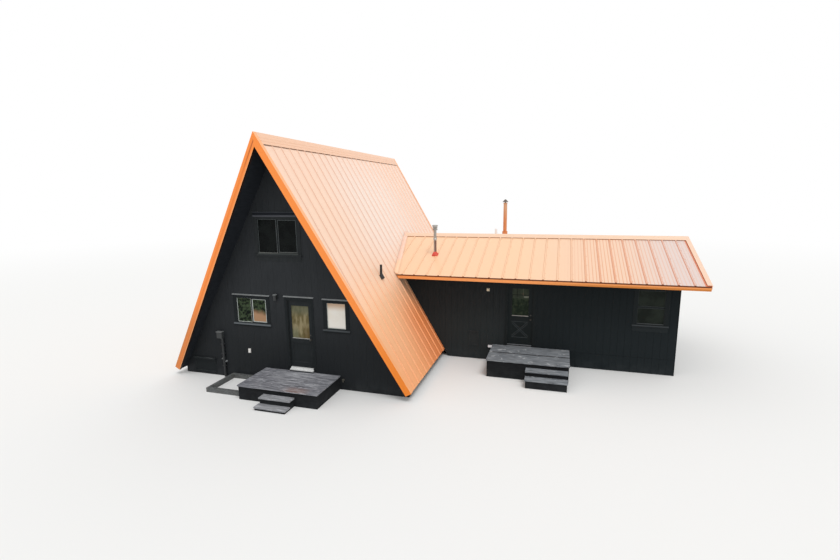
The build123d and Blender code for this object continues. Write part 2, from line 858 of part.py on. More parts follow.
door_plan = [
    ("front_door", front_door_x, front_door_width, main_floor_z, 0, front_door_hole, front_deck_z,
     (front_glass_margin, front_glass_low, front_glass_high),
     (front_panel_margin, front_panel_low, front_panel_high), False),
    ("wing_door", wing_door_x, wing_door_width, wing_floor_z, wing_front_y, wing_door_hole, wing_deck_z,
     (wing_glass_margin, wing_glass_low, wing_glass_high),
     (wing_panel_margin, wing_panel_low, wing_panel_high), True),
]
thresholds = []
for name, x, width, floor_z, face_y, hole, deck_z, glass_sizes, panel_sizes, crossed in door_plan:
    save(door_frame(x, width, floor_z, face_y, hole), f"{name}_frame")
    leaf, pane = door_leaf(x, width, floor_z, face_y, glass_sizes, panel_sizes, crossed)
    save(leaf, f"{name}_leaf")
    save(pane, f"{name}_glass")
    save(knobs(x + width - knob_backset, floor_z, face_y), f"{name}_knobs")
    thresholds.append(threshold(x, width, hole, face_y, deck_z, floor_z))
save(thresholds, "door_thresholds")


# Decks and steps
def deck(left, right, depth, top, face_y):
    """Platform top, and the skirt boards and joists under it."""
    back = face_y - seat_gap
    front = face_y - depth
    under = top - deck_board - seat_gap
    x0 = left + deck_lip
    x1 = right - deck_lip
    y0 = front + deck_lip
    y1 = y0 + skirt_thickness + seat_gap
    y2 = back - skirt_thickness - seat_gap
    frame = []
    for near in (y0, back - skirt_thickness):
        frame.append(block(x0, x1, near, near + skirt_thickness, 0, under))
    for share in joist_shares:
        x = x0 + (x1 - skirt_thickness - x0) * share
        frame.append(block(x, x + skirt_thickness, y1, y2, 0, under))
    return block(left, right, front, back, top - deck_board, top), frame


def steps(left, right, deck_front, top, going, rise):
    """Treads with a lip, each on its own box."""
    treads = []
    boxes = []
    for number in range(step_count):
        tread_top = top - rise * (number + 1)
        under = tread_top - deck_board
        front = deck_front - going * (number + 1)
        back = deck_front - going * number + deck_lip - 2 * seat_gap
        treads.append(block(left, right, front, back, under, tread_top))
        boxes.append(block(left + deck_lip, right - deck_lip, front + deck_lip, back, 0, under - seat_gap))
    return treads, boxes


deck_plan = [
    ("front_deck", front_deck_left, front_deck_right, front_deck_depth, front_deck_z, 0,
     (front_step_left, front_step_right, front_step_going, front_step_rise)),
    ("wing_deck", wing_deck_left, wing_deck_right, wing_deck_depth, wing_deck_z, wing_front_y,
     (wing_step_left, wing_step_right, wing_step_going, wing_step_rise)),
]
for name, left, right, depth, top, face_y, step_sizes in deck_plan:
    step_left, step_right, going, rise = step_sizes
    boards, frame = deck(left, right, depth, top, face_y)
    treads, boxes = steps(step_left, step_right, face_y - depth, top, going, rise)
    save([boards] + treads, f"{name}_boards")
    save(frame + boxes, f"{name}_frame")


# Pipes through the roofs
def through(plane, solid):
    """Part of a solid that shows over the ribbed sheet of a plane."""
    return solid - plane.below_sheet()


def boot(plane, x, y, pipe_radius, plate):
    """Plate folded over the ribs and a tapered collar round a pipe."""
    z = plane.height_under(x, y)
    spot = Vector(x, y, z) - plane.ridge
    down = spot.dot(plane.down)
    along = spot.dot(plane.along)
    half = plate / 2
    top = rib_height + trim_thickness + seat_gap
    outline = [(along - half, -top), (along + half, -top), (along + half, top), (along - half, top)]
    base = plane.prism(outline, down - half, down + half)
    cone = Cone(boot_flare * half, pipe_radius + trim_thickness, 3 * boot_rise, align=standing)
    above = [(along - half, 0), (along + half, 0), (along + half, reach), (along - half, reach)]
    collar = Pos(x, y, z - boot_rise) * cone & plane.prism(above, down - half, down + half)
    return through(plane, base + collar)


def pipe(plane, x, y, radius, rise):
    """Upright pipe with its foot hidden under the sheet."""
    z = plane.height_under(x, y)
    return upright(x, y, z - rise, radius, 2 * rise)


valley_x = main_x(wing_apex_z)
vent = through(right_slope, pipe(right_slope, vent_run, vent_y, vent_radius, vent_rise))
save(vent + boot(right_slope, vent_run, vent_y, vent_radius, vent_boot_plate), "main_roof_vent")

flue_x = valley_x + flue_from_valley
flue_z = wing_front_slope.height_under(flue_x, flue_y)
flue = pipe(wing_front_slope, flue_x, flue_y, flue_radius, flue_rise)
collar = [(0, 0), (collar_radius, 0), (flue_radius + 1, collar_height), (0, collar_height)]
flue += turned(collar, flue_x, flue_y, flue_z + collar_rise)
cap_line_points = [(0, 0)]
for low, high in flue_band_shares:
    neck_top = min(1, high + 4 * flue_band_lip)
    for radius, share in (
            (flue_cap_radius, low), (flue_cap_radius, high), (flue_neck_radius, high + flue_band_lip),
            (flue_neck_radius, neck_top)):
        cap_line_points.append((radius, min(1, share) * flue_cap_height))
flue += turned(cap_line_points[:-1] + [(0, flue_cap_height)], flue_x, flue_y, flue_z + flue_rise)
flue_boot = boot(wing_front_slope, flue_x, flue_y, flue_radius, boot_plate)
flue_clearance = upright(flue_x, flue_y, flue_z - flue_rise, flue_radius + seat_gap, 2 * flue_rise)
save(through(wing_front_slope, flue), "gas_flue")
save(flue_boot - flue_clearance, "flue_boot")

chimney_x = valley_x + chimney_from_valley
chimney_y = wing_ridge_y + chimney_behind_ridge
chimney_z = wing_rear_slope.height_under(chimney_x, chimney_y)
chimney = pipe(wing_rear_slope, chimney_x, chimney_y, chimney_radius, chimney_rise)
chimney += pipe(wing_rear_slope, chimney_x, chimney_y, chimney_sleeve_radius, chimney_sleeve_rise)
chimney_cap = [(r * chimney_cap_radius, h * chimney_cap_radius) for r, h in chimney_cap_shares]
chimney += turned(chimney_cap, chimney_x, chimney_y, chimney_z + chimney_rise - 1)
chimney_boot = boot(wing_rear_slope, chimney_x, chimney_y, chimney_sleeve_radius, chimney_boot_plate)
save(through(wing_rear_slope, chimney) + chimney_boot, "stove_chimney")

white_x = valley_x + white_pipe_from_valley
white_y = wing_ridge_y + white_pipe_behind_ridge
white_pipe = pipe(wing_rear_slope, white_x, white_y, white_pipe_radius, white_pipe_rise)
white_boot = boot(wing_rear_slope, white_x, white_y, white_pipe_radius, white_boot_plate)
save(through(wing_rear_slope, white_pipe) + white_boot, "white_vent_pipe")


# Fittings on the walls
def wall_box(x, z, width, height, depth, face_y):
    """Rounded cover standing off a front wall."""
    body = block(x - width / 2, x + width / 2, face_y - depth, face_y, z - height / 2, z + height / 2)
    return fillet(body.edges().filter_by(Axis.Y), width / 10)


def wall_disc(x, z, radius, height, face_y):
    """Round fitting on a front wall with a stepped, tapered face."""
    place = Pos(x, face_y, z) * Rot(90, 0, 0)
    base = place * Cylinder(radius, height / 3, align=standing)
    return base + place * Cone(0.9 * radius, 0.6 * radius, height, align=standing)


def hatch(x0, x1, z0, z1, face_y, ledge):
    """Flat hatch in a raised frame under a projecting ledge."""
    half = casing_thickness / 2
    front = face_y - casing_thickness
    body = block(x0, x1, front, face_y, z0, z1)
    frame = hatch_board
    body -= block(x0 + frame, x1 - frame, front - 1, front + half, z0 + frame, z1 - frame)
    return body + block(x0 - half, x1 + half, face_y - ledge, face_y, z1, z1 + hatch_board)


lamp_x = front_door_x - lamp_from_door
lamp_arm = lamp_height / 4
lamp = upright(lamp_x, -lamp_stand, lamp_z, lamp_radius, lamp_height)
lamp += block(lamp_x - lamp_radius / 2, lamp_x + lamp_radius / 2, -lamp_stand, 0, lamp_z + lamp_arm,
              lamp_z + 3 * lamp_arm)
disc = wall_disc(wing_door_x - disc_from_door, disc_z, disc_radius, disc_height, wing_front_y)
save([lamp, disc], "wall_lights")

outlet_x = left_window_hole[0] + outlet_from_window
wing_outlet_x = wing_door_x - wing_outlet_from_door
outlets = [
    wall_box(outlet_x, outlet_z, outlet_width, outlet_height, outlet_depth, 0),
    wall_box(wing_outlet_x, wing_outlet_z, outlet_height, outlet_width, outlet_depth, wing_front_y)]
save(outlets, "outlet_covers")

curb_right = front_deck_left - curb_gap
curb_left = curb_right - curb_width
curb_side = curb_left + curb_timber + seat_gap
curb = [
    block(curb_left, curb_left + curb_timber, -curb_reach, -seat_gap, 0, curb_height),
    block(curb_side, curb_right, -curb_reach, curb_timber - curb_reach, 0, curb_height),
    block(curb_side, curb_right, -curb_timber, -seat_gap, 0, curb_height)]
save(curb, "window_well_curb")

meter_x = curb_left - meter_from_curb
meter_top = meter_z + meter_height
meter = wall_box(meter_x, meter_z + meter_height / 2, meter_width, meter_height, meter_depth, 0)
lid = meter_width / 2 + meter_lid_lap
meter += block(meter_x - lid, meter_x + lid, -meter_depth - 2 * meter_lid_lap, 0, meter_top - 1,
               meter_top + flashing_height)
conduit_x = meter_x + conduit_offset
conduit = upright(conduit_x, -conduit_radius - conduit_stand, 0, conduit_radius, meter_z - seat_gap)
save([meter, conduit], "utility_box")

wing_hatch_x = wing_door_x - wing_hatch_from_door
hatch_left = hatch_from_foot - half_span
hatch_right = conduit_x - hatch_from_conduit
hatches = [
    hatch(hatch_left, hatch_right, hatch_bottom, hatch_top, 0, hatch_ledge),
    hatch(wing_hatch_x, wing_hatch_x + wing_hatch_width, wing_hatch_bottom, wing_hatch_top, wing_front_y,
          casing_thickness + flashing_lip)]
save(hatches, "access_hatches")

bib = wall_disc(bib_x, bib_z, rose_radius, bib_length, 0)
stem_y = -2 * rose_radius
bib += upright(bib_x, stem_y, bib_z - 2 * rose_radius, bib_stem_radius, 3 * rose_radius)
bib += upright(bib_x, stem_y, bib_z + rose_radius - 1, rose_radius, bib_wheel_thickness)
save(bib, "hose_bib")
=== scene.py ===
import math
from functools import partial

import bmesh
import bpy
from mathutils import Matrix, Vector


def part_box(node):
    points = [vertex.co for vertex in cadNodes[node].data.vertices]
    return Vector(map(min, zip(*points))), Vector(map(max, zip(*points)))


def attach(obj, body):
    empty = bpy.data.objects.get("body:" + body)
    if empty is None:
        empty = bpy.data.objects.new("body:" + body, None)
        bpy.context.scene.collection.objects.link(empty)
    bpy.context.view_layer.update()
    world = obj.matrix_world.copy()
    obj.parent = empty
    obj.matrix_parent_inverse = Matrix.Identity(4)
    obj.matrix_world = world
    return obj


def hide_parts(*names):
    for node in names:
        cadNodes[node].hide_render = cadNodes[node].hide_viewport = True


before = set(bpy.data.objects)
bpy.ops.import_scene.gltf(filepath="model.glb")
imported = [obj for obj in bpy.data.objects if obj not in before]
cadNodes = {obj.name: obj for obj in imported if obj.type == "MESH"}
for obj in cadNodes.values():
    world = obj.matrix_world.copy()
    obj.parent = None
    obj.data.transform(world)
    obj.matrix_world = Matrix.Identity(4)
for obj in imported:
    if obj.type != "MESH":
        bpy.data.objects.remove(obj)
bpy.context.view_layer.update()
print("stage: frame loaded, nodes", len(cadNodes))

# Sizes of the cabin that several pieces share, in metres
cabin = {
    "apexZ": 7.136, "footZ": 0.26, "halfSpan": 3.91, "boards": 0.158, "ribPitch": 0.412,
    "ribHeight": 0.02, "ribBase": 0.064, "ribTop": 0.024, "frontFirstRib": -0.327, "ridgeLead": 0.886,
    "footLead": 0.3, "rearEdge": 9.7, "rearLead": 0.35, "seat": 0.0003,
    "wingFront": 3.555, "wingDepth": 4.86, "wingRight": 11.095, "wingEave": 2.95, "wingRise": 1.08,
    "wingOverhang": 0.62, "wingEndX": 11.7, "wingBoards": 0.123,
}
slopeAngle = math.atan2(cabin["apexZ"] - cabin["footZ"], cabin["halfSpan"])
slopeLength = cabin["halfSpan"] / math.cos(slopeAngle)
slopeTan = math.tan(slopeAngle)
mainRear = cabin["rearEdge"] - cabin["rearLead"]
wingHalf = cabin["wingDepth"] / 2 + cabin["wingOverhang"]
wingRidgeY = cabin["wingFront"] + cabin["wingDepth"] / 2
wingRear = cabin["wingFront"] + cabin["wingDepth"]
wingApexZ = cabin["wingEave"] + cabin["wingRise"]
wingAngle = math.atan2(cabin["wingRise"], wingHalf)
wingTan = math.tan(wingAngle)
wingSlopeLength = wingHalf / math.cos(wingAngle)


def srgb(red, green, blue):
    def one(value):
        value = value / 255
        return value / 12.92 if value <= 0.04045 else ((value + 0.055) / 1.055) ** 2.4
    return (one(red), one(green), one(blue), 1.0)


# Slopes: a point at a distance down from the ridge, along it, and off the sheet
def mainPoint(side, down, along, lift=0.0):
    x = side * (down * math.cos(slopeAngle) + lift * math.sin(slopeAngle))
    z = cabin["apexZ"] - down * math.sin(slopeAngle) + lift * math.cos(slopeAngle)
    return Vector((x, along, z))


def wingPoint(side, down, along, lift=0.0):
    y = wingRidgeY + side * (down * math.cos(wingAngle) + lift * math.sin(wingAngle))
    z = wingApexZ - down * math.sin(wingAngle) + lift * math.cos(wingAngle)
    return Vector((along, y, z))


def frontEdge(down):
    share = down / slopeLength
    return -(cabin["ridgeLead"] + (cabin["footLead"] - cabin["ridgeLead"]) * share)


def mainHalf(z):
    return cabin["halfSpan"] * (cabin["apexZ"] - z) / (cabin["apexZ"] - cabin["footZ"])


# Boxes of the separate solids of a CAD node
def solidsOf(node):
    mesh = cadNodes[node].data
    keys = {}
    parent = []

    def root(i):
        while parent[i] != i:
            parent[i] = parent[parent[i]]
            i = parent[i]
        return i

    index = []
    for vertex in mesh.vertices:
        key = tuple(round(c, 5) for c in vertex.co)
        if key not in keys:
            keys[key] = len(parent)
            parent.append(len(parent))
        index.append(keys[key])
    for polygon in mesh.polygons:
        first = root(index[polygon.vertices[0]])
        for v in polygon.vertices[1:]:
            parent[root(index[v])] = first
    groups = {}
    for vertex, i in zip(mesh.vertices, index):
        low, high = groups.setdefault(root(i), ([math.inf] * 3, [-math.inf] * 3))
        for axis in range(3):
            low[axis] = min(low[axis], vertex.co[axis])
            high[axis] = max(high[axis], vertex.co[axis])
    found = [(Vector(low), Vector(high)) for low, high in groups.values()]
    return sorted(found, key=lambda b: tuple(round(c, 3) for c in (*b[0], *b[1])))


# Mesh helpers
def newObject(name, data):
    made = bpy.data.objects.new(name, data)
    bpy.context.scene.collection.objects.link(made)
    return made


def meshFrom(name, bm):
    mesh = bpy.data.meshes.new(name)
    bm.to_mesh(mesh)
    bm.free()
    return mesh


def finishMesh(name, bm, finish, body="body", smooth=None):
    bmesh.ops.recalc_face_normals(bm, faces=bm.faces[:])
    mesh = meshFrom(name, bm)
    mesh.materials.append(looks[finish])
    return finishPiece(name, mesh, body, smooth)


def finishPiece(name, mesh, body="body", smooth=None):
    piece = newObject(name, mesh)
    if smooth is not None:
        mesh.polygons.foreach_set("use_smooth", [True] * len(mesh.polygons))
        mesh.set_sharp_from_angle(angle=math.radians(smooth))
    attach(piece, body)
    return piece


# Faces of a box whose corners run through the first side, the second and the third in turn
boxFaces = ((0, 1, 3, 2), (4, 6, 7, 5), (0, 4, 5, 1), (2, 3, 7, 6), (0, 2, 6, 4), (1, 5, 7, 3))


def addCorners(bm, corners):
    verts = [bm.verts.new(corner) for corner in corners]
    for face in boxFaces:
        bm.faces.new([verts[i] for i in face])


def addBox(bm, low, high):
    sides = [(low[axis], high[axis]) for axis in range(3)]
    addCorners(bm, [(x, y, z) for x in sides[0] for y in sides[1] for z in sides[2]])


def addPrism(bm, outline, start, move):
    first = [bm.verts.new(Vector(p) + Vector(start)) for p in outline]
    second = [bm.verts.new(v.co + Vector(move)) for v in first]
    count = len(outline)
    bm.faces.new(first)
    bm.faces.new(list(reversed(second)))
    for i in range(count):
        j = (i + 1) % count
        bm.faces.new([first[i], first[j], second[j], second[i]])


# Closed rectangular frame in a plane of constant y; the bar is one width, or left, right, bottom and top
def addRing(bm, rect, bar, near, far):
    u0, u1, z0, z1 = rect
    left, right, bottom, top = bar if isinstance(bar, tuple) else (bar,) * 4
    outer = [(u0, z0), (u1, z0), (u1, z1), (u0, z1)]
    a0, a1, b0, b1 = u0 + left, u1 - right, z0 + bottom, z1 - top
    inner = [(a0, b0), (a1, b0), (a1, b1), (a0, b1)]
    rows = [[bm.verts.new((x, y, z)) for x, z in loop] for y in (near, far) for loop in (outer, inner)]
    for i in range(4):
        j = (i + 1) % 4
        for one, two in ((0, 1), (3, 2), (2, 0), (1, 3)):
            bm.faces.new([rows[one][i], rows[one][j], rows[two][j], rows[two][i]])


def bevelAll(bm, width, segments, sharp=math.radians(30)):
    bmesh.ops.recalc_face_normals(bm, faces=bm.faces[:])
    edges = [e for e in bm.edges if len(e.link_faces) == 2 and e.calc_face_angle() > sharp]
    easeEdges(bm, edges, width, segments)


def easeEdges(bm, edges, width, segments):
    bmesh.ops.bevel(bm, geom=edges, offset=width, segments=segments, profile=0.5, affect="EDGES",
                    clamp_overlap=True)


def addLathe(bm, profile, centre, axis, steps=28):
    turn = Vector((0, 0, 1)).rotation_difference(Vector(axis)).to_matrix()
    rings = []
    for radius, height in profile:
        ring = []
        for step in range(steps):
            angle = 2 * math.pi * step / steps
            local = Vector((radius * math.cos(angle), radius * math.sin(angle), height))
            ring.append(bm.verts.new(Vector(centre) + turn @ local))
        rings.append(ring)
    for lower, upper in zip(rings, rings[1:]):
        for i in range(steps):
            j = (i + 1) % steps
            bm.faces.new([lower[i], lower[j], upper[j], upper[i]])
    bm.faces.new(list(reversed(rings[0])))
    bm.faces.new(rings[-1])


# Node helpers. A value that is a socket is linked, and "#2" names the third input.
def addNode(tree, kind, settings=None, **values):
    node = tree.nodes.new(kind)
    for key, value in (settings or {}).items():
        setattr(node, key, value)
    putAll(tree, node, values)
    return node


def putAll(tree, node, values):
    for key, value in values.items():
        put(tree, node, key.replace("_", " "), value)


def put(tree, node, key, value):
    socket = node.inputs[int(key[1:])] if key[0] == "#" else node.inputs[key]
    if isinstance(value, bpy.types.NodeSocket):
        tree.links.new(value, socket)
    else:
        socket.default_value = value


def maths(tree, operation, first, second=None, clamp=False):
    node = addNode(tree, "ShaderNodeMath", {"operation": operation, "use_clamp": clamp})
    put(tree, node, "#0", first)
    if second is not None:
        put(tree, node, "#1", second)
    return node.outputs[0]


def vectorMaths(tree, operation, first, second=None):
    node = addNode(tree, "ShaderNodeVectorMath", {"operation": operation})
    put(tree, node, "#0", first)
    if second is not None:
        put(tree, node, "#1", second)
    return node.outputs


def splitAxes(tree, vector):
    node = tree.nodes.new("ShaderNodeSeparateXYZ")
    tree.links.new(vector, node.inputs[0])
    return dict(zip("xyz", node.outputs))


def faceNormal(tree):
    return tree.nodes.new("ShaderNodeNewGeometry").outputs["Normal"]


def mixColour(tree, factor, first, second):
    node = addNode(tree, "ShaderNodeMix", {"data_type": "RGBA", "blend_type": "MIX", "clamp_factor": True})
    for key, value in (("#0", factor), ("#6", first), ("#7", second)):
        put(tree, node, key, value)
    return node.outputs[2]


def mixShaders(tree, factor, first, second):
    node = tree.nodes.new("ShaderNodeMixShader")
    for socket, value in zip(node.inputs, (factor, first, second)):
        tree.links.new(value, socket)
    return node.outputs[0]


# Lays a tone over a colour, by a mask and the most that it may cover
def lay(tree, colour, mask, tone, share):
    return mixColour(tree, maths(tree, "MULTIPLY", mask, share), colour, srgb(*tone))


def ramp(tree, value, low, high, toLow=0.0, toHigh=1.0):
    node = addNode(tree, "ShaderNodeMapRange", {"interpolation_type": "SMOOTHSTEP"}, Value=value,
                   From_Min=low, From_Max=high, To_Min=toLow, To_Max=toHigh)
    return node.outputs["Result"]


def newGroup(name, inputs, outputs, kind="ShaderNodeTree"):
    tree = bpy.data.node_groups.new(name, kind)
    for label, sort, value in inputs:
        socket = tree.interface.new_socket(name=label, in_out="INPUT", socket_type="NodeSocket" + sort)
        if value is not None:
            socket.default_value = value
    for label, sort in outputs:
        tree.interface.new_socket(name=label, in_out="OUTPUT", socket_type="NodeSocket" + sort)
    return tree, tree.nodes.new("NodeGroupInput").outputs, tree.nodes.new("NodeGroupOutput").inputs


# Limits of the shared effects: where each soft step starts and ends
effects = {"dustBreak": (0.3, 0.7), "upward": (0.3, 1.0), "edge": (0.995, 0.86), "chips": (0.42, 0.62)}


# Shared effect: noise stretched along a grain
def makeGrainGroup():
    tree, given, result = newGroup("grainEffect", [
        ("Vector", "Vector", (0, 0, 0)), ("Stretch", "Vector", (1, 1, 1)), ("Scale", "Float", 10.0),
        ("Detail", "Float", 4.0), ("Low", "Float", 0.35), ("High", "Float", 0.65)], [("Mask", "Float")])
    scaled = vectorMaths(tree, "MULTIPLY", given["Vector"], given["Stretch"])[0]
    noise = addNode(tree, "ShaderNodeTexNoise", Vector=scaled, Scale=given["Scale"], Detail=given["Detail"],
                    Roughness=0.55)
    tree.links.new(ramp(tree, noise.outputs[0], given["Low"], given["High"]), result["Mask"])
    return tree


# Shared effect: dust that settles on upward faces and splashes near the ground
def makeDustGroup():
    tree, given, result = newGroup("dustEffect", [
        ("Vector", "Vector", (0, 0, 0)), ("Splash height", "Float", 0.5), ("Settled", "Float", 0.3)],
        [("Mask", "Float")])
    place = splitAxes(tree, given["Vector"])
    normal = splitAxes(tree, faceNormal(tree))
    noise = addNode(tree, "ShaderNodeTexNoise", Vector=given["Vector"], Scale=3.7, Detail=6.0, Roughness=0.6)
    broken = ramp(tree, noise.outputs[0], *effects["dustBreak"])
    splash = ramp(tree, place["z"], given["Splash height"], 0.0)
    upward = maths(tree, "MULTIPLY", ramp(tree, normal["z"], *effects["upward"]), given["Settled"])
    both = maths(tree, "MULTIPLY", maths(tree, "ADD", splash, upward), broken, True)
    tree.links.new(both, result["Mask"])
    return tree


# Shared effect: worn edges, from the difference between rounded and true normals
def makeWearGroup():
    tree, given, result = newGroup("wearEffect", [
        ("Vector", "Vector", (0, 0, 0)), ("Radius", "Float", 0.004), ("Amount", "Float", 0.6)],
        [("Mask", "Float"), ("Normal", "Vector")])
    rounded = addNode(tree, "ShaderNodeBevel", {"samples": 4}, Radius=given["Radius"]).outputs[0]
    likeness = vectorMaths(tree, "DOT_PRODUCT", rounded, faceNormal(tree))["Value"]
    edge = ramp(tree, likeness, *effects["edge"])
    noise = addNode(tree, "ShaderNodeTexNoise", Vector=given["Vector"], Scale=23.0, Detail=4.0)
    chips = ramp(tree, noise.outputs[0], *effects["chips"])
    worn = maths(tree, "MULTIPLY", maths(tree, "MULTIPLY", edge, chips), given["Amount"], True)
    tree.links.new(worn, result["Mask"])
    tree.links.new(rounded, result["Normal"])
    return tree


# Shared effect: one random value for each board, from its place across the run
def makeBoardGroup():
    tree, given, result = newGroup("boardEffect", [
        ("Vector", "Vector", (0, 0, 0)), ("Across", "Vector", (1, 0, 0)), ("Width", "Float", 0.2)],
        [("Tone", "Float")])
    along = vectorMaths(tree, "DOT_PRODUCT", given["Vector"], given["Across"])["Value"]
    index = maths(tree, "FLOOR", maths(tree, "DIVIDE", along, given["Width"]))
    noise = addNode(tree, "ShaderNodeTexWhiteNoise", {"noise_dimensions": "1D"}, W=index)
    tree.links.new(noise.outputs[0], result["Tone"])
    return tree


grainGroup = makeGrainGroup()
dustGroup = makeDustGroup()
wearGroup = makeWearGroup()
boardGroup = makeBoardGroup()


def useGroup(tree, group, **values):
    node = addNode(tree, "ShaderNodeGroup", {"node_tree": group})
    putAll(tree, node, values)
    return node.outputs


# Noises that the finishes are mottled with
noises = {
    "grain": {"Detail": 6.0, "Low": 0.3, "High": 0.7}, "cloud": {"Detail": 3.0, "Low": 0.25, "High": 0.75},
    "streaks": {"Detail": 4.0, "Low": 0.3, "High": 0.7}, "fade": {"Detail": 2.0, "Low": 0.2, "High": 0.8},
    "soil": {"Detail": 5.0, "Low": 0.3, "High": 0.7}, "leaves": {"Detail": 6.0, "Low": 0.38, "High": 0.62},
    "sway": {"Detail": 3.0, "Low": 0.2, "High": 0.8},
}


def mottle(tree, place, noise, scale, stretch=(1, 1, 1)):
    return useGroup(tree, grainGroup, Vector=place, Stretch=stretch, Scale=scale, **noise)["Mask"]


def startMaterial(name):
    material = bpy.data.materials.new(name)
    material.use_nodes = True
    tree = material.node_tree
    tree.nodes.clear()
    output = tree.nodes.new("ShaderNodeOutputMaterial")
    place = tree.nodes.new("ShaderNodeTexCoord").outputs["Object"]
    return material, tree, output, place


def plainColour(tree, tone):
    node = tree.nodes.new("ShaderNodeRGB")
    node.outputs[0].default_value = srgb(*tone)
    return node.outputs[0]


def bump(tree, height, strength, distance, normal=None):
    node = addNode(tree, "ShaderNodeBump", Strength=strength, Distance=distance, Height=height)
    if normal is not None:
        tree.links.new(normal, node.inputs["Normal"])
    return node.outputs[0]


# A tone laid on where all its soft steps are up; a step is an axis, where it starts and where it ends
def zone(tone, *steps, share=1.0):
    return {"tone": tone, "steps": steps, "share": share}


def zoneMask(tree, axes, plan):
    mask = None
    for axis, start, end in plan["steps"]:
        step = ramp(tree, axes[axis], start, end)
        mask = step if mask is None else maths(tree, "MULTIPLY", mask, step)
    return maths(tree, "MULTIPLY", mask, plan["share"])


# Height of a point over the plane of the left slope, which a zone calls its "left" axis
def leftHeight(tree, axes):
    sideways = maths(tree, "MULTIPLY", axes["x"], -math.sin(slopeAngle))
    overApex = maths(tree, "SUBTRACT", axes["z"], cabin["apexZ"])
    upward = maths(tree, "MULTIPLY", overApex, math.cos(slopeAngle))
    return maths(tree, "ADD", sideways, upward)


def addZones(tree, colour, place, zones):
    axes = splitAxes(tree, place)
    if any(step[0] == "left" for plan in zones for step in plan["steps"]):
        axes["left"] = leftHeight(tree, axes)
    for plan in zones:
        colour = mixColour(tree, zoneMask(tree, axes, plan), colour, srgb(*plan["tone"]))
    return colour


# Stained or painted timber
timberBase = {
    "scale": 9.0, "cloud": 1.3, "patchy": 0.3, "edge": 0.004, "wear": 0.5, "splash": 0.35, "settled": 0.15,
    "dusty": 0.35, "dustTone": (96, 90, 82), "rough": 0.65, "relief": 0.25, "depth": 0.002,
    "shine": 0.3, "zones": [],
}


def timber(name, look):
    look = {**timberBase, **look}
    material, tree, output, place = startMaterial(name)
    grain = mottle(tree, place, noises["grain"], look["scale"], look["stretch"])
    cloud = mottle(tree, place, noises["cloud"], look["cloud"])
    colour = mixColour(tree, grain, srgb(*look["dark"]), srgb(*look["light"]))
    colour = lay(tree, colour, cloud, look["cloudTone"], look["patchy"])
    if "across" in look:
        tone = useGroup(tree, boardGroup, Vector=place, Across=look["across"], Width=look["width"])["Tone"]
        colour = lay(tree, colour, tone, look["boardTone"], look["boardShare"])
    colour = addZones(tree, colour, place, look["zones"])
    if "spots" in look:
        spots = {"stretch": (1, 1, 1), **look["spots"]}
        limits = {**noises["cloud"], "Low": spots["low"], "High": spots["high"]}
        mask = mottle(tree, place, limits, spots["scale"], spots["stretch"])
        colour = lay(tree, colour, mask, spots["tone"], spots["share"])
    wear = useGroup(tree, wearGroup, Vector=place, Radius=look["edge"], Amount=look["wear"])
    colour = mixColour(tree, wear["Mask"], colour, srgb(*look["wornTone"]))
    dust = useGroup(tree, dustGroup, Vector=place, Splash_height=look["splash"],
                    Settled=look["settled"])["Mask"]
    colour = lay(tree, colour, dust, look["dustTone"], look["dusty"])
    shader = addNode(tree, "ShaderNodeBsdfPrincipled", Base_Color=colour, Roughness=look["rough"],
                     Normal=bump(tree, grain, look["relief"], look["depth"], wear["Normal"]),
                     Specular_IOR_Level=look["shine"])
    tree.links.new(shader.outputs[0], output.inputs[0])
    return material


# Factory-painted sheet; faces turned sideways (rib flanks, trim faces) take their own tone as painted
# shading by facing, and faces turned down take a painted shade
sheetBase = {
    "streakScale": 5.0, "cloud": 0.5, "streaky": 0.12, "patchy": 0.12, "flankFrom": 0.15, "flankTo": 0.4,
    "flankShadingShare": 0.8, "under": (-0.2, -0.35), "edge": 0.003, "wear": 0.2, "rough": 0.38, "relief": 0.12,
    "depth": 0.004, "shine": 0.5, "coat": 0.3, "coatRough": 0.25, "zones": [], "flankShadingZones": [],
    "lastZones": [],
}


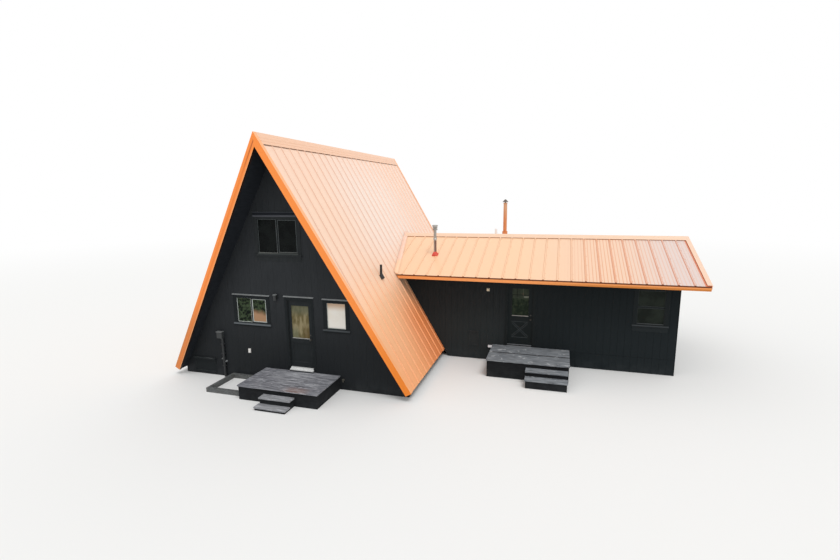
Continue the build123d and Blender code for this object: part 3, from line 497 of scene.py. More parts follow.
def paintedSheet(name, look):
    look = {**sheetBase, **look}
    material, tree, output, place = startMaterial(name)
    streaks = mottle(tree, place, noises["streaks"], look["streakScale"], look["stretch"])
    cloud = mottle(tree, place, noises["fade"], look["cloud"])
    colour = addZones(tree, plainColour(tree, look["main"]), place, look["zones"])
    # Painted shading of the sheet's small stiffening beads, as fine periodic lines
    if "beads" in look:
        beads = look["beads"]
        axes = splitAxes(tree, place)
        count = maths(tree, "DIVIDE", maths(tree, "SUBTRACT", axes[beads["axis"]], beads["start"]),
                      beads["pitch"])
        away = maths(tree, "ABSOLUTE", maths(tree, "SUBTRACT", maths(tree, "FRACT", count), 0.5))
        mask = maths(tree, "MULTIPLY", ramp(tree, away, *beads["line"]), zoneMask(tree, axes, beads))
        colour = mixColour(tree, mask, colour, srgb(*beads["tone"]))
    colour = lay(tree, colour, streaks, look["streakTone"], look["streaky"])
    colour = lay(tree, colour, cloud, look["cloudTone"], look["patchy"])
    # Painted shading by facing: faces turned sideways get their own tone
    facing = splitAxes(tree, faceNormal(tree))
    aside = maths(tree, "ABSOLUTE", facing[look["flankAxis"]])
    flank = ramp(tree, aside, look["flankFrom"], look["flankTo"])
    flankShadingColour = addZones(tree, plainColour(tree, look["flankShadingTone"]), place, look["flankShadingZones"])
    colour = mixColour(tree, maths(tree, "MULTIPLY", flank, look["flankShadingShare"]), colour, flankShadingColour)
    # Painted shade on faces turned down
    if "underShadeTone" in look:
        below = ramp(tree, facing["z"], *look["under"])
        colour = mixColour(tree, below, colour, srgb(*look["underShadeTone"]))
    colour = addZones(tree, colour, place, look["lastZones"])
    wear = useGroup(tree, wearGroup, Vector=place, Radius=look["edge"], Amount=look["wear"])
    colour = mixColour(tree, wear["Mask"], colour, srgb(*look["wornTone"]))
    shader = addNode(tree, "ShaderNodeBsdfPrincipled", Base_Color=colour, Roughness=look["rough"],
                     Normal=bump(tree, cloud, look["relief"], look["depth"]),
                     Specular_IOR_Level=look["shine"], Coat_Weight=look["coat"],
                     Coat_Roughness=look["coatRough"])
    tree.links.new(shader.outputs[0], output.inputs[0])
    return material


# Plain metal, plastic, rubber, concrete or cloth with light soiling
plainBase = {
    "stretch": (1, 1, 1), "scale": 14.0, "patchy": 0.35, "edge": 0.002, "wear": 0.4, "rough": 0.45,
    "roughSpread": 0.12, "metal": 0.0, "relief": 0.08, "depth": 0.001, "shine": 0.5, "zones": [],
}


def plainFinish(name, look):
    look = {**plainBase, **look}
    material, tree, output, place = startMaterial(name)
    cloud = mottle(tree, place, noises["soil"], look["scale"], look["stretch"])
    colour = lay(tree, srgb(*look["main"]), cloud, look["soil"], look["patchy"])
    colour = addZones(tree, colour, place, look["zones"])
    wear = useGroup(tree, wearGroup, Vector=place, Radius=look["edge"], Amount=look["wear"])
    colour = mixColour(tree, wear["Mask"], colour, srgb(*look["soil"]))
    rough = ramp(tree, cloud, 0.0, 1.0, look["rough"], look["rough"] + look["roughSpread"])
    shader = addNode(tree, "ShaderNodeBsdfPrincipled", Base_Color=colour, Roughness=rough,
                     Normal=bump(tree, cloud, look["relief"], look["depth"], wear["Normal"]),
                     Metallic=look["metal"], Specular_IOR_Level=look["shine"])
    tree.links.new(shader.outputs[0], output.inputs[0])
    return material


# Panes: clear glass over a dark room, with soft painted reflections in set regions; the region over the
# right pane is instead a painted image of the lit blind behind it
glassBase = {"rough": 0.06, "mirror": (200, 205, 205), "bend": 1.28, "zones": []}
regionBase = {"stretch": (1, 1, 1), "rough": 0.25, "shine": 0.06, "swayScale": 2.0, "zones": []}


# One inside the region's rectangle and in front of its depth
def regionMask(tree, axes, region):
    x0, x1, z0, z1 = region["rect"]
    mask = None
    for operation, axis, limit in (("GREATER_THAN", "x", x0), ("LESS_THAN", "x", x1),
                                   ("LESS_THAN", "y", region["behind"]), ("GREATER_THAN", "z", z0),
                                   ("LESS_THAN", "z", z1)):
        test = maths(tree, operation, axes[axis], limit)
        mask = test if mask is None else maths(tree, "MULTIPLY", mask, test)
    return mask


def glazing(name, look):
    look = {**glassBase, **look}
    material, tree, output, place = startMaterial(name)
    axes = splitAxes(tree, place)
    clear = tree.nodes.new("ShaderNodeBsdfTransparent")
    tree.links.new(addZones(tree, plainColour(tree, look["tint"]), place, look["zones"]), clear.inputs[0])
    mirror = addNode(tree, "ShaderNodeBsdfGlossy", Roughness=look["rough"], Color=srgb(*look["mirror"]))
    facing = addNode(tree, "ShaderNodeFresnel", IOR=look["bend"])
    result = mixShaders(tree, facing.outputs[0], clear.outputs[0], mirror.outputs[0])
    for plan in look["regions"]:
        region = {**regionBase, **plan}
        inside = regionMask(tree, axes, region)
        leaves = mottle(tree, place, noises["leaves"], region["scale"], region["stretch"])
        colour = mixColour(tree, leaves, srgb(*region["dark"]), srgb(*region["light"]))
        colour = addZones(tree, colour, place, region["zones"])
        if "ground" in region:
            sway = mottle(tree, place, noises["sway"], region["swayScale"])
            line = maths(tree, "ADD", axes["z"], maths(tree, "MULTIPLY", sway, region["sway"]))
            low = ramp(tree, line, *region["groundHeight"])
            side = ramp(tree, axes["x"], *region["groundSide"])
            colour = mixColour(tree, maths(tree, "MULTIPLY", low, side), colour, srgb(*region["ground"]))
        seen = addNode(tree, "ShaderNodeBsdfPrincipled", Base_Color=colour, Roughness=region["rough"],
                       Specular_IOR_Level=region["shine"])
        cover = maths(tree, "MULTIPLY", inside, region["cover"])
        result = mixShaders(tree, cover, result, seen.outputs[0])
    tree.links.new(result, output.inputs[0])
    return material


flueLow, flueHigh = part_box("gas_flue")
flueMiddle = (flueLow + flueHigh) / 2
# What the dark stained timbers share, and what the folded trims share
charcoal = {
    "dark": (33, 36, 38), "light": (42, 45, 47), "cloudTone": (52, 55, 57), "wornTone": (62, 64, 65),
    "stretch": (6, 6, 0.7), "scale": 6.0, "patchy": 0.35, "rough": 0.72, "shine": 0.22, "relief": 0.3,
    "wear": 0.3, "splash": 0.45, "dusty": 0.15, "settled": 0.0, "dustTone": (84, 88, 90),
}
foldedTrim = {
    "streaky": 0.08, "patchy": 0.1, "stretch": (2, 2, 2), "flankShadingShare": 1.0, "flankFrom": 0.5,
    "flankTo": 0.8,
}
# Soft steps that keep a zone to the main gable, to the wing, to the wing's wall or to its window
onGable, onWing = ("y", 1.0, 0.9), ("y", 1.5, 2.5)
onWingWall, onWingWindow = ("y", 3.0, 3.1), ("x", 9.6, 9.7)
finishes = {
    # Main roof: the paler zones by height are a painted sky reflection, which gives way to deeper orange low
    # beside the wing; the left slope is kept one plain tone; the thin dark band just below the ridge cap is
    # a painted shadow; the flank tones are painted rib shading
    "roofMain": (paintedSheet, {
        "main": (255, 176, 118), "streakTone": (246, 214, 188), "cloudTone": (242, 208, 180),
        "wornTone": (244, 200, 168), "streaky": 0.1, "patchy": 0.08, "stretch": (0.5, 5.0, 0.5),
        "flankAxis": "y", "flankShadingShare": 0.55, "flankShadingTone": (222, 148, 100),
        "zones": [
            zone((252, 196, 150), ("z", 0.2, 2.6)),
            zone((244, 208, 182), ("z", 1.8, 4.2)),
            zone((240, 222, 210), ("z", 2.2, 4.2), ("y", 0.5, 4.0), share=0.85),
            zone((242, 206, 182), ("z", 2.4, 4.0), ("y", 5.5, 8.5), share=0.7),
            zone((244, 206, 182), ("z", 5.4, 7.0), share=0.6),
            zone((255, 140, 68), ("z", 2.9, 1.3), ("y", 0.8, 3.2), share=0.92),
            zone((244, 196, 154), ("x", 0.3, -0.3)),
            zone((120, 72, 50), ("z", 6.84, 6.852), ("z", 6.872, 6.868), share=0.8)],
        "flankShadingZones": [
            zone((196, 148, 122), ("z", 2.6, 4.0), share=0.8),
            zone((240, 188, 156), ("z", 2.4, 4.0), ("y", 2.5, 6.0), share=0.8),
            zone((255, 176, 110), ("z", 3.0, 1.6), ("y", 2.0, 3.2), share=0.9)]}),
    # Wing roof: its pale tone, paler and greyer towards the right end, is painted sky sheen; the bead lines
    # are painted bead shading, the thin line beside the rake lap is painted shade, and the flank tones are
    # painted rib shading
    "roofWing": (paintedSheet, {
        "main": (243, 198, 157), "streakTone": (250, 214, 182), "cloudTone": (246, 204, 174),
        "wornTone": (250, 205, 170), "streaky": 0.06, "patchy": 0.08, "stretch": (5.0, 0.5, 0.5),
        "flankAxis": "x", "flankShadingTone": (214, 126, 78),
        "beads": {
            "axis": "x", "pitch": 0.103, "start": 11.7, "tone": (222, 150, 102), "share": 0.85,
            "steps": [("x", 7.6, 8.8), ("x", 13.0, 9.0)], "line": (0.32, 0.46)},
        "zones": [
            zone((234, 196, 166), ("x", 6.0, 9.0)),
            zone((216, 198, 192), ("x", 9.0, 11.2))],
        "lastZones": [zone((214, 112, 58), ("x", 11.525, 11.55), share=0.9)],
        "flankShadingZones": [zone((228, 180, 138), ("x", 9.4, 7.4), share=0.9)]}),
    # Rake trims: the pale tone of the laps turned up is painted sky sheen against the orange upright faces;
    # faces turned down take painted shade; the bands along the left rake are painted shade and painted
    # highlight along the trim's fold
    "trim": (paintedSheet, {
        **foldedTrim, "main": (250, 178, 124), "streakTone": (250, 190, 140), "cloudTone": (244, 170, 110),
        "wornTone": (250, 190, 140), "coat": 0.2, "shine": 0.4, "rough": 0.45, "flankAxis": "y",
        "flankShadingTone": (254, 144, 56), "underShadeTone": (46, 26, 16),
        "flankShadingZones": [
            zone((240, 130, 14), ("z", 2.6, 0.6), ("x", -0.5, 0.5), share=0.9),
            zone((208, 124, 52), ("z", 2.8, 1.4), ("x", -0.5, -1.0), share=0.9),
            zone((236, 120, 34), ("left", -0.11, -0.09), ("left", -0.04, -0.06), ("x", 0.0, -0.02),
                 share=0.6),
            zone((176, 84, 22), ("left", -0.1, -0.085), ("left", -0.055, -0.07), ("x", 0.0, -0.02),
                 ("z", 6.0, 6.7), share=0.8),
            zone((252, 174, 116), ("left", -0.14, -0.15), ("x", -0.05, -0.1), share=0.8)]}),
    # Wing rake trim: the pale lap turned up is painted sky sheen against the orange faces
    "rakeWing": (paintedSheet, {
        **foldedTrim, "main": (238, 202, 176), "streakTone": (242, 208, 186), "cloudTone": (234, 188, 158),
        "wornTone": (226, 130, 72), "coat": 0.2, "shine": 0.4, "rough": 0.45, "flankAxis": "x",
        "flankShadingTone": (236, 128, 50)}),
    # Wing eave fascias: the face takes a painted shading tone, faces turned down take painted shade, and the
    # thin dark band along the top is the painted shadow under the sheet's drip edge
    "fascia": (paintedSheet, {
        **foldedTrim, "main": (226, 134, 58), "streakTone": (236, 150, 80), "cloudTone": (214, 120, 44),
        "wornTone": (250, 190, 140), "coat": 0.1, "shine": 0.3, "rough": 0.5, "flankAxis": "y",
        "flankShadingTone": (246, 158, 90), "underShadeTone": (60, 32, 18),
        "flankShadingZones": [
            zone((198, 118, 38), ("x", 6.0, 9.5), ("z", 2.862, 2.842), share=0.85),
            zone((110, 54, 20), ("z", 2.884, 2.894))]}),
    # Ridge caps: faces turned towards the front or back take a painted shading tone
    "cap": (paintedSheet, {
        "main": (236, 200, 170), "streakTone": (242, 206, 178), "cloudTone": (236, 188, 154),
        "wornTone": (248, 212, 185), "stretch": (2, 2, 2), "flankAxis": "y", "flankShadingTone": (240, 150, 80),
        "flankFrom": 0.8, "flankTo": 1.0,
        "zones": [zone((238, 190, 156), ("z", 4.5, 6.5))]}),
    "wallFront": (timber, {
        **charcoal, "dark": (34, 37, 40), "light": (39, 42, 45), "cloudTone": (48, 51, 54), "relief": 0.12,
        "across": (1, 0, 0), "width": 0.2032, "boardShare": 0.06, "boardTone": (42, 45, 48),
        "zones": [
            zone((18, 22, 25), ("z", 2.8, 0.6), share=0.75),
            zone((24, 28, 31), ("z", 2.6, 0.2), ("x", -0.6, 1.6), share=0.3)]}),
    "wallWing": (timber, {
        **charcoal, "dark": (32, 36, 38), "light": (40, 44, 46), "cloudTone": (40, 43, 45),
        "across": (1, 0, 0), "width": 0.2032, "boardShare": 0.2, "boardTone": (43, 45, 46), "shine": 0.08,
        "zones": [
            zone((24, 30, 32), ("x", 5.5, 8.0), share=0.75),
            zone((47, 53, 54), ("x", 6.5, 5.5), ("z", 2.4, 0.9), share=0.6),
            zone((34, 40, 43), ("x", 6.5, 8.0), ("z", 2.4, 0.9), share=0.5)]}),
    "wallEnd": (timber, {
        **charcoal, "dark": (28, 32, 33), "light": (37, 41, 42), "cloudTone": (38, 42, 43),
        "across": (0, 1, 0), "width": 0.2032, "boardShare": 0.3, "boardTone": (40, 43, 44), "shine": 0.1}),
    "casing": (timber, {
        **charcoal, "dark": (36, 39, 41), "light": (46, 49, 50), "wornTone": (84, 88, 88), "wear": 0.8,
        "edge": 0.008, "settled": 0.8, "dusty": 1.0, "dustTone": (100, 103, 103), "splash": 0.05,
        "shine": 0.1,
        "zones": [
            zone((29, 33, 35), ("z", 3.0, 2.9), onGable, share=0.85),
            zone((28, 33, 34), onWing, share=0.85),
            # Painted highlights along the sills of the two low front windows
            zone((98, 103, 107), ("z", 1.744, 1.75), ("z", 1.8, 1.79), onGable, ("x", -0.3, -0.4)),
            zone((72, 76, 79), ("z", 1.744, 1.75), ("z", 1.8, 1.79), onGable, ("x", 1.0, 1.1)),
            zone((45, 49, 50), onWing, ("x", 5.5, 5.4), share=0.9),
            # A painted highlight line along the top of the upper window's frame
            zone((84, 86, 92), ("z", 4.97, 4.975), ("z", 5.04, 5.02), onGable),
            zone((29, 32, 38), ("z", 5.02, 5.03), ("z", 5.1, 5.09), onGable),
            zone((66, 69, 74), ("z", 5.09, 5.1), onGable),
            # Painted highlights along the bottom of the upper window's frame and along the top of the wing
            # window's sill
            zone((76, 80, 79), ("z", 3.9, 3.905), ("z", 3.95, 3.945), ("x", -0.76, -0.75),
                 ("x", 0.565, 0.555), onGable),
            zone((64, 68, 71), ("z", 1.513, 1.517), ("z", 1.55, 1.546), onWingWall, onWingWindow),
            zone((36, 41, 43), ("z", 1.5, 1.49), onWingWall, onWingWindow)]}),
    "sash": (timber, {
        **charcoal, "dark": (66, 71, 73), "light": (80, 85, 86), "cloudTone": (74, 79, 80),
        "wornTone": (120, 124, 124), "wear": 0.6, "settled": 0.8, "dusty": 1.0, "dustTone": (126, 130, 130),
        "splash": 0.05,
        "zones": [
            zone((36, 42, 41), onWing, share=0.85),
            # Painted highlights on the bottom rails of the wing window's and the upper window's sashes
            zone((98, 102, 104), ("z", 1.4, 1.5), ("z", 1.6, 1.594), onWingWall, share=0.85),
            zone((124, 126, 122), ("z", 3.6, 3.7), ("z", 3.975, 3.968), onGable, ("x", -0.1, -0.11)),
            zone((108, 110, 107), ("z", 3.6, 3.7), ("z", 3.975, 3.968), onGable, ("x", -0.11, -0.1))]}),
    # Door leaves; the pale worn edges are partly wear and partly painted highlights along the edges
    "door": (timber, {
        **charcoal, "dark": (29, 33, 35), "light": (36, 40, 42), "rough": 0.55, "shine": 0.1, "wear": 0.9,
        "edge": 0.009, "wornTone": (84, 90, 92),
        "zones": [zone((27, 33, 34), onWing, share=0.85)]}),
    "underside": (timber, {
        **charcoal, "dark": (28, 32, 37), "light": (40, 44, 50), "stretch": (0.6, 0.6, 4),
        "cloudTone": (37, 41, 47)}),
    "deck": (timber, {
        "dark": (58, 59, 66), "light": (190, 191, 196), "cloudTone": (112, 113, 120),
        "wornTone": (190, 190, 193), "stretch": (0.35, 6.0, 6.0), "scale": 6.5, "patchy": 0.2, "rough": 0.6,
        "relief": 0.5, "wear": 0.6, "splash": 0.05, "settled": 0.3, "dusty": 0.2,
        "dustTone": (150, 150, 152), "across": (0, 1, 0), "width": 0.153, "boardShare": 0.5,
        "boardTone": (84, 84, 92),
        "spots": {
            "scale": 6.0, "stretch": (0.7, 5, 5), "low": 0.56, "high": 0.64, "tone": (208, 209, 214),
            "share": 0.5},
        "zones": [
            zone((100, 101, 109), ("x", 0.3, -0.6), share=0.45),
            zone((88, 90, 97), ("x", 1.1, 1.6), share=0.35),
            zone((150, 152, 154), ("z", 0.3, 0.28), share=0.45),
            zone((136, 100, 88), ("x", 0.5, 0.9), ("x", 1.5, 1.1), ("y", -1.0, -1.25), ("z", 0.4, 0.41),
                 share=0.55)]}),
    "wingDeck": (timber, {
        "dark": (74, 78, 83), "light": (150, 155, 160), "cloudTone": (104, 109, 114),
        "wornTone": (196, 200, 202), "stretch": (0.6, 6, 6), "scale": 5.5, "patchy": 0.3, "rough": 0.62,
        "relief": 0.5, "wear": 0.8, "splash": 0.05, "settled": 0.4, "dusty": 0.3,
        "dustTone": (170, 174, 176),
        "spots": {"scale": 6.0, "low": 0.62, "high": 0.68, "tone": (206, 210, 212), "share": 0.6},
        "zones": [zone((36, 39, 42), ("y", 2.73, 2.76), ("y", 2.86, 2.83), share=0.85)]}),
    "skirt": (timber, {
        **charcoal, "dark": (22, 23, 25), "light": (32, 33, 35), "cloudTone": (36, 38, 40),
        "stretch": (0.7, 0.7, 6), "shine": 0.08}),
    "floorWood": (timber, {
        "dark": (120, 86, 56), "light": (164, 124, 84), "cloudTone": (140, 104, 70),
        "wornTone": (170, 140, 100), "stretch": (6, 0.6, 6), "across": (1, 0, 0), "width": 0.12,
        "boardShare": 0.3, "boardTone": (128, 92, 60)}),
    "wellTimber": (timber, {
        "dark": (70, 73, 74), "light": (112, 115, 115), "cloudTone": (82, 84, 84),
        "wornTone": (134, 136, 134), "stretch": (2, 2, 8), "relief": 0.6}),
    "concrete": (plainFinish, {
        "main": (150, 147, 140), "soil": (110, 106, 98), "rough": 0.85, "shine": 0.2, "scale": 6.0}),
    "vinyl": (plainFinish, {"main": (196, 202, 198), "soil": (150, 156, 150), "rough": 0.4}),
    "flashing": (plainFinish, {
        "main": (140, 143, 144), "soil": (96, 99, 100), "rough": 0.45, "metal": 0.2}),
    "valley": (plainFinish, {
        "main": (244, 208, 188), "soil": (240, 194, 170), "rough": 0.4,
        "zones": [zone((246, 206, 172), ("z", 3.35, 3.25))]}),
    # The flue's lower half is darker on its right side
    "steel": (plainFinish, {
        "main": (176, 176, 172), "soil": (120, 112, 108), "rough": 0.35, "metal": 0.7,
        "stretch": (1, 1, 0.2),
        "zones": [
            zone((118, 82, 70), ("z", flueMiddle.z, flueMiddle.z - 0.02),
                 ("x", flueMiddle.x - 0.02, flueMiddle.x + 0.01), share=0.85)]}),
    "copperSteel": (plainFinish, {
        "main": (220, 142, 90), "soil": (188, 110, 68), "rough": 0.45, "metal": 0.15,
        "stretch": (1, 1, 0.2),
        "zones": [
            zone((214, 174, 140), ("z", 4.4, 5.1), share=0.75),
            zone((232, 166, 142), ("z", 4.0, 3.92), share=0.8),
            zone((92, 80, 70), ("z", 5.16, 5.2))]}),
    "blackPlastic": (plainFinish, {"main": (26, 26, 27), "soil": (52, 50, 48), "rough": 0.5}),
    "redRubber": (plainFinish, {
        "main": (212, 84, 74), "soil": (228, 120, 100), "rough": 0.7, "shine": 0.2}),
    "whitePlastic": (plainFinish, {
        "main": (232, 230, 226), "soil": (196, 192, 184), "rough": 0.45,
        "zones": [zone((244, 249, 255), onWing, share=0.9)]}),
    "enamel": (plainFinish, {
        "main": (226, 212, 184), "soil": (190, 172, 140), "rough": 0.4,
        "zones": [
            zone((40, 40, 36), ("x", 5.362, 5.356)),
            zone((40, 40, 36), ("x", 5.458, 5.464)),
            zone((40, 40, 36), ("z", 2.374, 2.368)),
            zone((40, 40, 36), ("z", 2.47, 2.476))]}),
    "darkEnamel": (plainFinish, {"main": (34, 36, 38), "soil": (58, 60, 60), "rough": 0.45}),
    "boxGrey": (plainFinish, {
        "main": (50, 53, 54), "soil": (62, 63, 62), "rough": 0.55,
        "zones": [
            zone((34, 36, 38), ("z", 1.25, 1.2), share=0.9),
            zone((112, 114, 114), ("z", 1.446, 1.449))]}),
    "glassStop": (plainFinish, {"main": (168, 166, 162), "soil": (130, 128, 124), "rough": 0.5}),
    # Painted highlight tone for the crossbuck's edge strips
    "crossEdge": (plainFinish, {"main": (72, 79, 81), "soil": (54, 60, 62), "rough": 0.6, "shine": 0.15}),
    # Light tone of the downlight's lid, a painted highlight
    "lampLid": (plainFinish, {"main": (132, 136, 136), "soil": (100, 102, 102), "rough": 0.5}),
    "knob": (plainFinish, {"main": (84, 82, 78), "soil": (58, 55, 50), "rough": 0.35, "metal": 0.6}),
    "brass": (plainFinish, {"main": (122, 120, 112), "soil": (90, 80, 60), "rough": 0.45, "metal": 0.6}),
    "screw": (plainFinish, {"main": (238, 170, 120), "soil": (150, 100, 70), "rough": 0.5}),
    # Darker than the foam, painted as the shade under the main ridge cap
    "capShade": (plainFinish, {"main": (66, 36, 24), "soil": (50, 28, 18), "rough": 0.9, "shine": 0.1}),
    "foam": (plainFinish, {"main": (150, 86, 52), "soil": (110, 62, 38), "rough": 0.9, "shine": 0.1}),
    "blind": (plainFinish, {
        "main": (246, 243, 236), "soil": (232, 226, 214), "rough": 0.8, "shine": 0.1,
        "stretch": (0.2, 1, 3)}),
    "threshold": (plainFinish, {
        "main": (226, 227, 226), "soil": (178, 178, 176), "rough": 0.45,
        "zones": [
            zone((60, 62, 64), ("z", 0.468, 0.462)),
            zone((124, 128, 132), ("y", 1.5, 2.0))]}),
    "glass": (glazing, {
        "tint": (120, 130, 126),
        "zones": [zone((238, 241, 239), ("x", 1.2, 1.25), ("x", 2.1, 2.05), onGable)],
        "regions": [
            # Right pane: a painted image of the lit blind behind the glass
            {"rect": (1.3, 2.0, 1.7, 2.7), "behind": 0.5, "scale": 1.5, "dark": (248, 241, 229),
             "light": (252, 247, 238), "cover": 0.92,
             "zones": [
                 zone((206, 166, 130), ("z", 2.3, 2.52), share=0.8),
                 zone((60, 58, 56), ("x", 1.905, 1.93), share=0.8)]},
            {"rect": (-1.8, -0.5, 1.7, 2.7), "behind": 0.5, "scale": 13.0, "dark": (14, 22, 15),
             "light": (66, 80, 57), "cover": 0.9, "ground": (176, 138, 106), "sway": 0.16,
             "groundHeight": (2.34, 2.14), "groundSide": (-1.2, -1.16)},
            {"rect": (-0.9, 0.7, 3.8, 5.1), "behind": 0.5, "scale": 2.5, "dark": (10, 13, 13),
             "light": (20, 24, 23), "cover": 0.94},
            {"rect": (9.8, 10.9, 1.4, 2.8), "behind": 5.0, "scale": 2.5, "dark": (27, 32, 28),
             "light": (40, 46, 40), "cover": 0.94}]}),
    "doorGlass": (glazing, {
        "tint": (110, 108, 90), "rough": 0.2,
        "regions": [
            {"rect": (0, 1, 1, 3), "behind": 0.5, "scale": 5.0, "stretch": (1.8, 1, 0.6),
             "dark": (104, 94, 62), "light": (150, 138, 106), "cover": 0.92,
             "zones": [
                 zone((94, 98, 80), ("z", 2.05, 2.3), share=0.75),
                 zone((120, 124, 100), ("z", 1.85, 1.6), ("x", 0.45, 0.3), share=0.6),
                 zone((98, 78, 46), ("z", 1.95, 1.6), ("x", 0.5, 0.62), share=0.6)]}]}),
    "wingDoorGlass": (glazing, {
        "tint": (90, 96, 84), "rough": 0.1,
        "regions": [
            {"rect": (6, 7, 1, 3), "behind": 5.0, "scale": 6.0, "stretch": (2, 1, 1.6),
             "dark": (27, 38, 28), "light": (48, 58, 44), "cover": 0.92,
             "zones": [
                 zone((68, 75, 64), ("z", 2.12, 2.2), share=0.5),
                 zone((128, 132, 120), ("z", 2.18, 2.2), ("z", 2.26, 2.24), ("x", 6.56, 6.58), share=0.7),
                 zone((28, 31, 28), ("z", 2.26, 2.27), ("z", 2.3, 2.29), share=0.7),
                 zone((30, 33, 30), ("z", 2.2, 2.21), ("x", 6.33, 6.34), ("x", 6.37, 6.36), share=0.7),
                 zone((88, 92, 78), ("z", 2.2, 2.21), ("x", 6.53, 6.54), ("x", 6.56, 6.55), share=0.6)]}]}),
}
looks = {name: make(name, look) for name, (make, look) in finishes.items()}
print("stage: materials", len(looks))

# CAD nodes by the finish that they take
cadFinishes = {
    "underside": "left_roof_boards right_roof_boards wing_roof_boards",
    "roofMain": "left_roof_sheet right_roof_sheet", "roofWing": "wing_roof_sheets",
    "cap": "ridge_cap wing_ridge_cap", "trim": "front_rake_trim rear_rake_trim",
    "rakeWing": "wing_rake_trim", "fascia": "wing_eave_fascias", "valley": "valley_flashing",
    "concrete": "side_footings", "floorWood": "main_floor loft_floor wing_floor",
    "wallFront": "front_wall_left front_wall_right front_gable_wall door_sill_walls rear_gable_wall",
    "wallWing": "wing_front_wall_left wing_front_wall_right wing_front_wall_head wing_rear_wall",
    "wallEnd": "wing_end_wall",
    "casing": "upper_window left_window right_window wing_window rear_windows access_hatches "
              "front_door_frame wing_door_frame",
    "glass": "window_glass", "doorGlass": "front_door_glass", "wingDoorGlass": "wing_door_glass",
    "door": "front_door_leaf wing_door_leaf", "knob": "front_door_knobs wing_door_knobs",
    "threshold": "door_thresholds", "deck": "front_deck_boards", "wingDeck": "wing_deck_boards",
    "skirt": "front_deck_frame wing_deck_frame", "blackPlastic": "main_roof_vent", "steel": "gas_flue",
    "redRubber": "flue_boot", "copperSteel": "stove_chimney",
    "whitePlastic": "white_vent_pipe outlet_covers", "enamel": "wall_lights", "boxGrey": "utility_box",
    "wellTimber": "window_well_curb", "blind": "window_blind", "brass": "hose_bib",
}
cadFinish = {nodeName: finish for finish, names in cadFinishes.items() for nodeName in names.split()}
for nodeName, finish in cadFinish.items():
    data = cadNodes[nodeName].data
    data.materials.clear()
    data.materials.append(looks[finish])
    data.polygons.foreach_set("material_index", [0] * len(data.polygons))
print("stage: CAD finishes, missing", sorted(set(cadNodes) - set(cadFinish)))

# Grooved siding sheets over the walls; a lap runs in behind a frame, and a gap is left beside a deck
siding = {
    "board": 0.2032, "groove": 0.006, "thickness": 0.009, "edge": 0.0022, "start": 0.1, "crease": 0.7,
    "halfSeam": 0.003, "offWall": 0.0002, "frameLap": 0.015, "hatchLap": 0.01, "gap": 0.002,
    "curbReach": -0.01, "underSlope": 0.004, "foot": 0.003, "underRoof": 0.005, "scribe": 0.026,
    "gableTop": 7.2, "endTop": 5.0, "wingStart": 3.0, "seamZ": 0.5, "seamX": 8.05,
    "narrowest": 1e-5,
}


# Cuts a polygon to the side of each line where a * u + b * z is under c
def clipPolygon(points, limits, tiny=1e-9):
    for a, b, c in limits:
        kept = []
        for i, here in enumerate(points):
            there = points[(i + 1) % len(points)]
            one = a * here[0] + b * here[1] - c
            two = a * there[0] + b * there[1] - c
            if one <= tiny:
                kept.append(here)
            if min(one, two) < -tiny and max(one, two) > tiny:
                share = one / (one - two)
                kept.append((here[0] + (there[0] - here[0]) * share, here[1] + (there[1] - here[1]) * share))
        points = kept
        if len(points) < 3:
            return []
    return points


def addSiding(name, wall):
    low, high = wall["span"]
    top, face, out = wall["top"], wall["face"], Vector(wall["out"])
    holes, seams, share = wall["holes"], wall.get("seams", []), wall.get("share", 1.0)
    half = siding["groove"] / 2 * share
    position = math.floor((low - siding["start"]) / siding["board"]) * siding["board"] + siding["start"]
    grooves = []
    while position < high:
        grooves.append((position - half, position + half))
        position += siding["board"]
    gaps = holes + [(u0, u1, z - siding["halfSeam"], z + siding["halfSeam"]) for z, u0, u1 in seams]
    cuts = [u for pair in grooves + [gap[:2] for gap in gaps] for u in pair if low < u < high]
    rows = [z for gap in gaps for z in gap[2:] if 0 < z < top]
    cuts, rows = sorted({low, high, *cuts}), sorted({0.0, top, *rows})
    bm = bmesh.new()
    verts = {}

    def vertexAt(u, z):
        key = (round(u, 5), round(z, 5))
        if key not in verts:
            verts[key] = bm.verts.new((face, u, z) if out.x else (u, face, z))
        return verts[key]

    for u0, u1 in zip(cuts, cuts[1:]):
        middle = (u0 + u1) / 2
        if u1 - u0 < siding["narrowest"] or any(a < middle < b for a, b in grooves):
            continue
        for z0, z1 in zip(rows, rows[1:]):
            level = (z0 + z1) / 2
            if z1 - z0 < siding["narrowest"] or any(a < middle < b and c < level < d for a, b, c, d in gaps):
                continue
            loop = clipPolygon([(u0, z0), (u1, z0), (u1, z1), (u0, z1)], wall["limits"])
            corners = list(dict.fromkeys(vertexAt(*point) for point in loop))
            if len(corners) > 2:
                bm.faces.new(corners)
    grown = bmesh.ops.extrude_face_region(bm, geom=bm.faces[:])
    fronts = {g for g in grown["geom"] if isinstance(g, bmesh.types.BMVert)}
    bmesh.ops.translate(bm, verts=list(fronts), vec=out * siding["thickness"])
    bmesh.ops.recalc_face_normals(bm, faces=bm.faces[:])
    edges = [e for e in bm.edges if fronts.issuperset(e.verts) and len(e.link_faces) == 2
             and e.calc_face_angle() > siding["crease"]]
    easeEdges(bm, edges, siding["edge"] * share, 1)
    return finishMesh(name, bm, wall["finish"])


def holesFrom(boxes, lap, toGround=False):
    return [(low.x + lap, high.x - lap, 0.0 if toGround else low.z, high.z) for low, high in boxes]


def boxesOf(names):
    return [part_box(name) for name in names.split()]


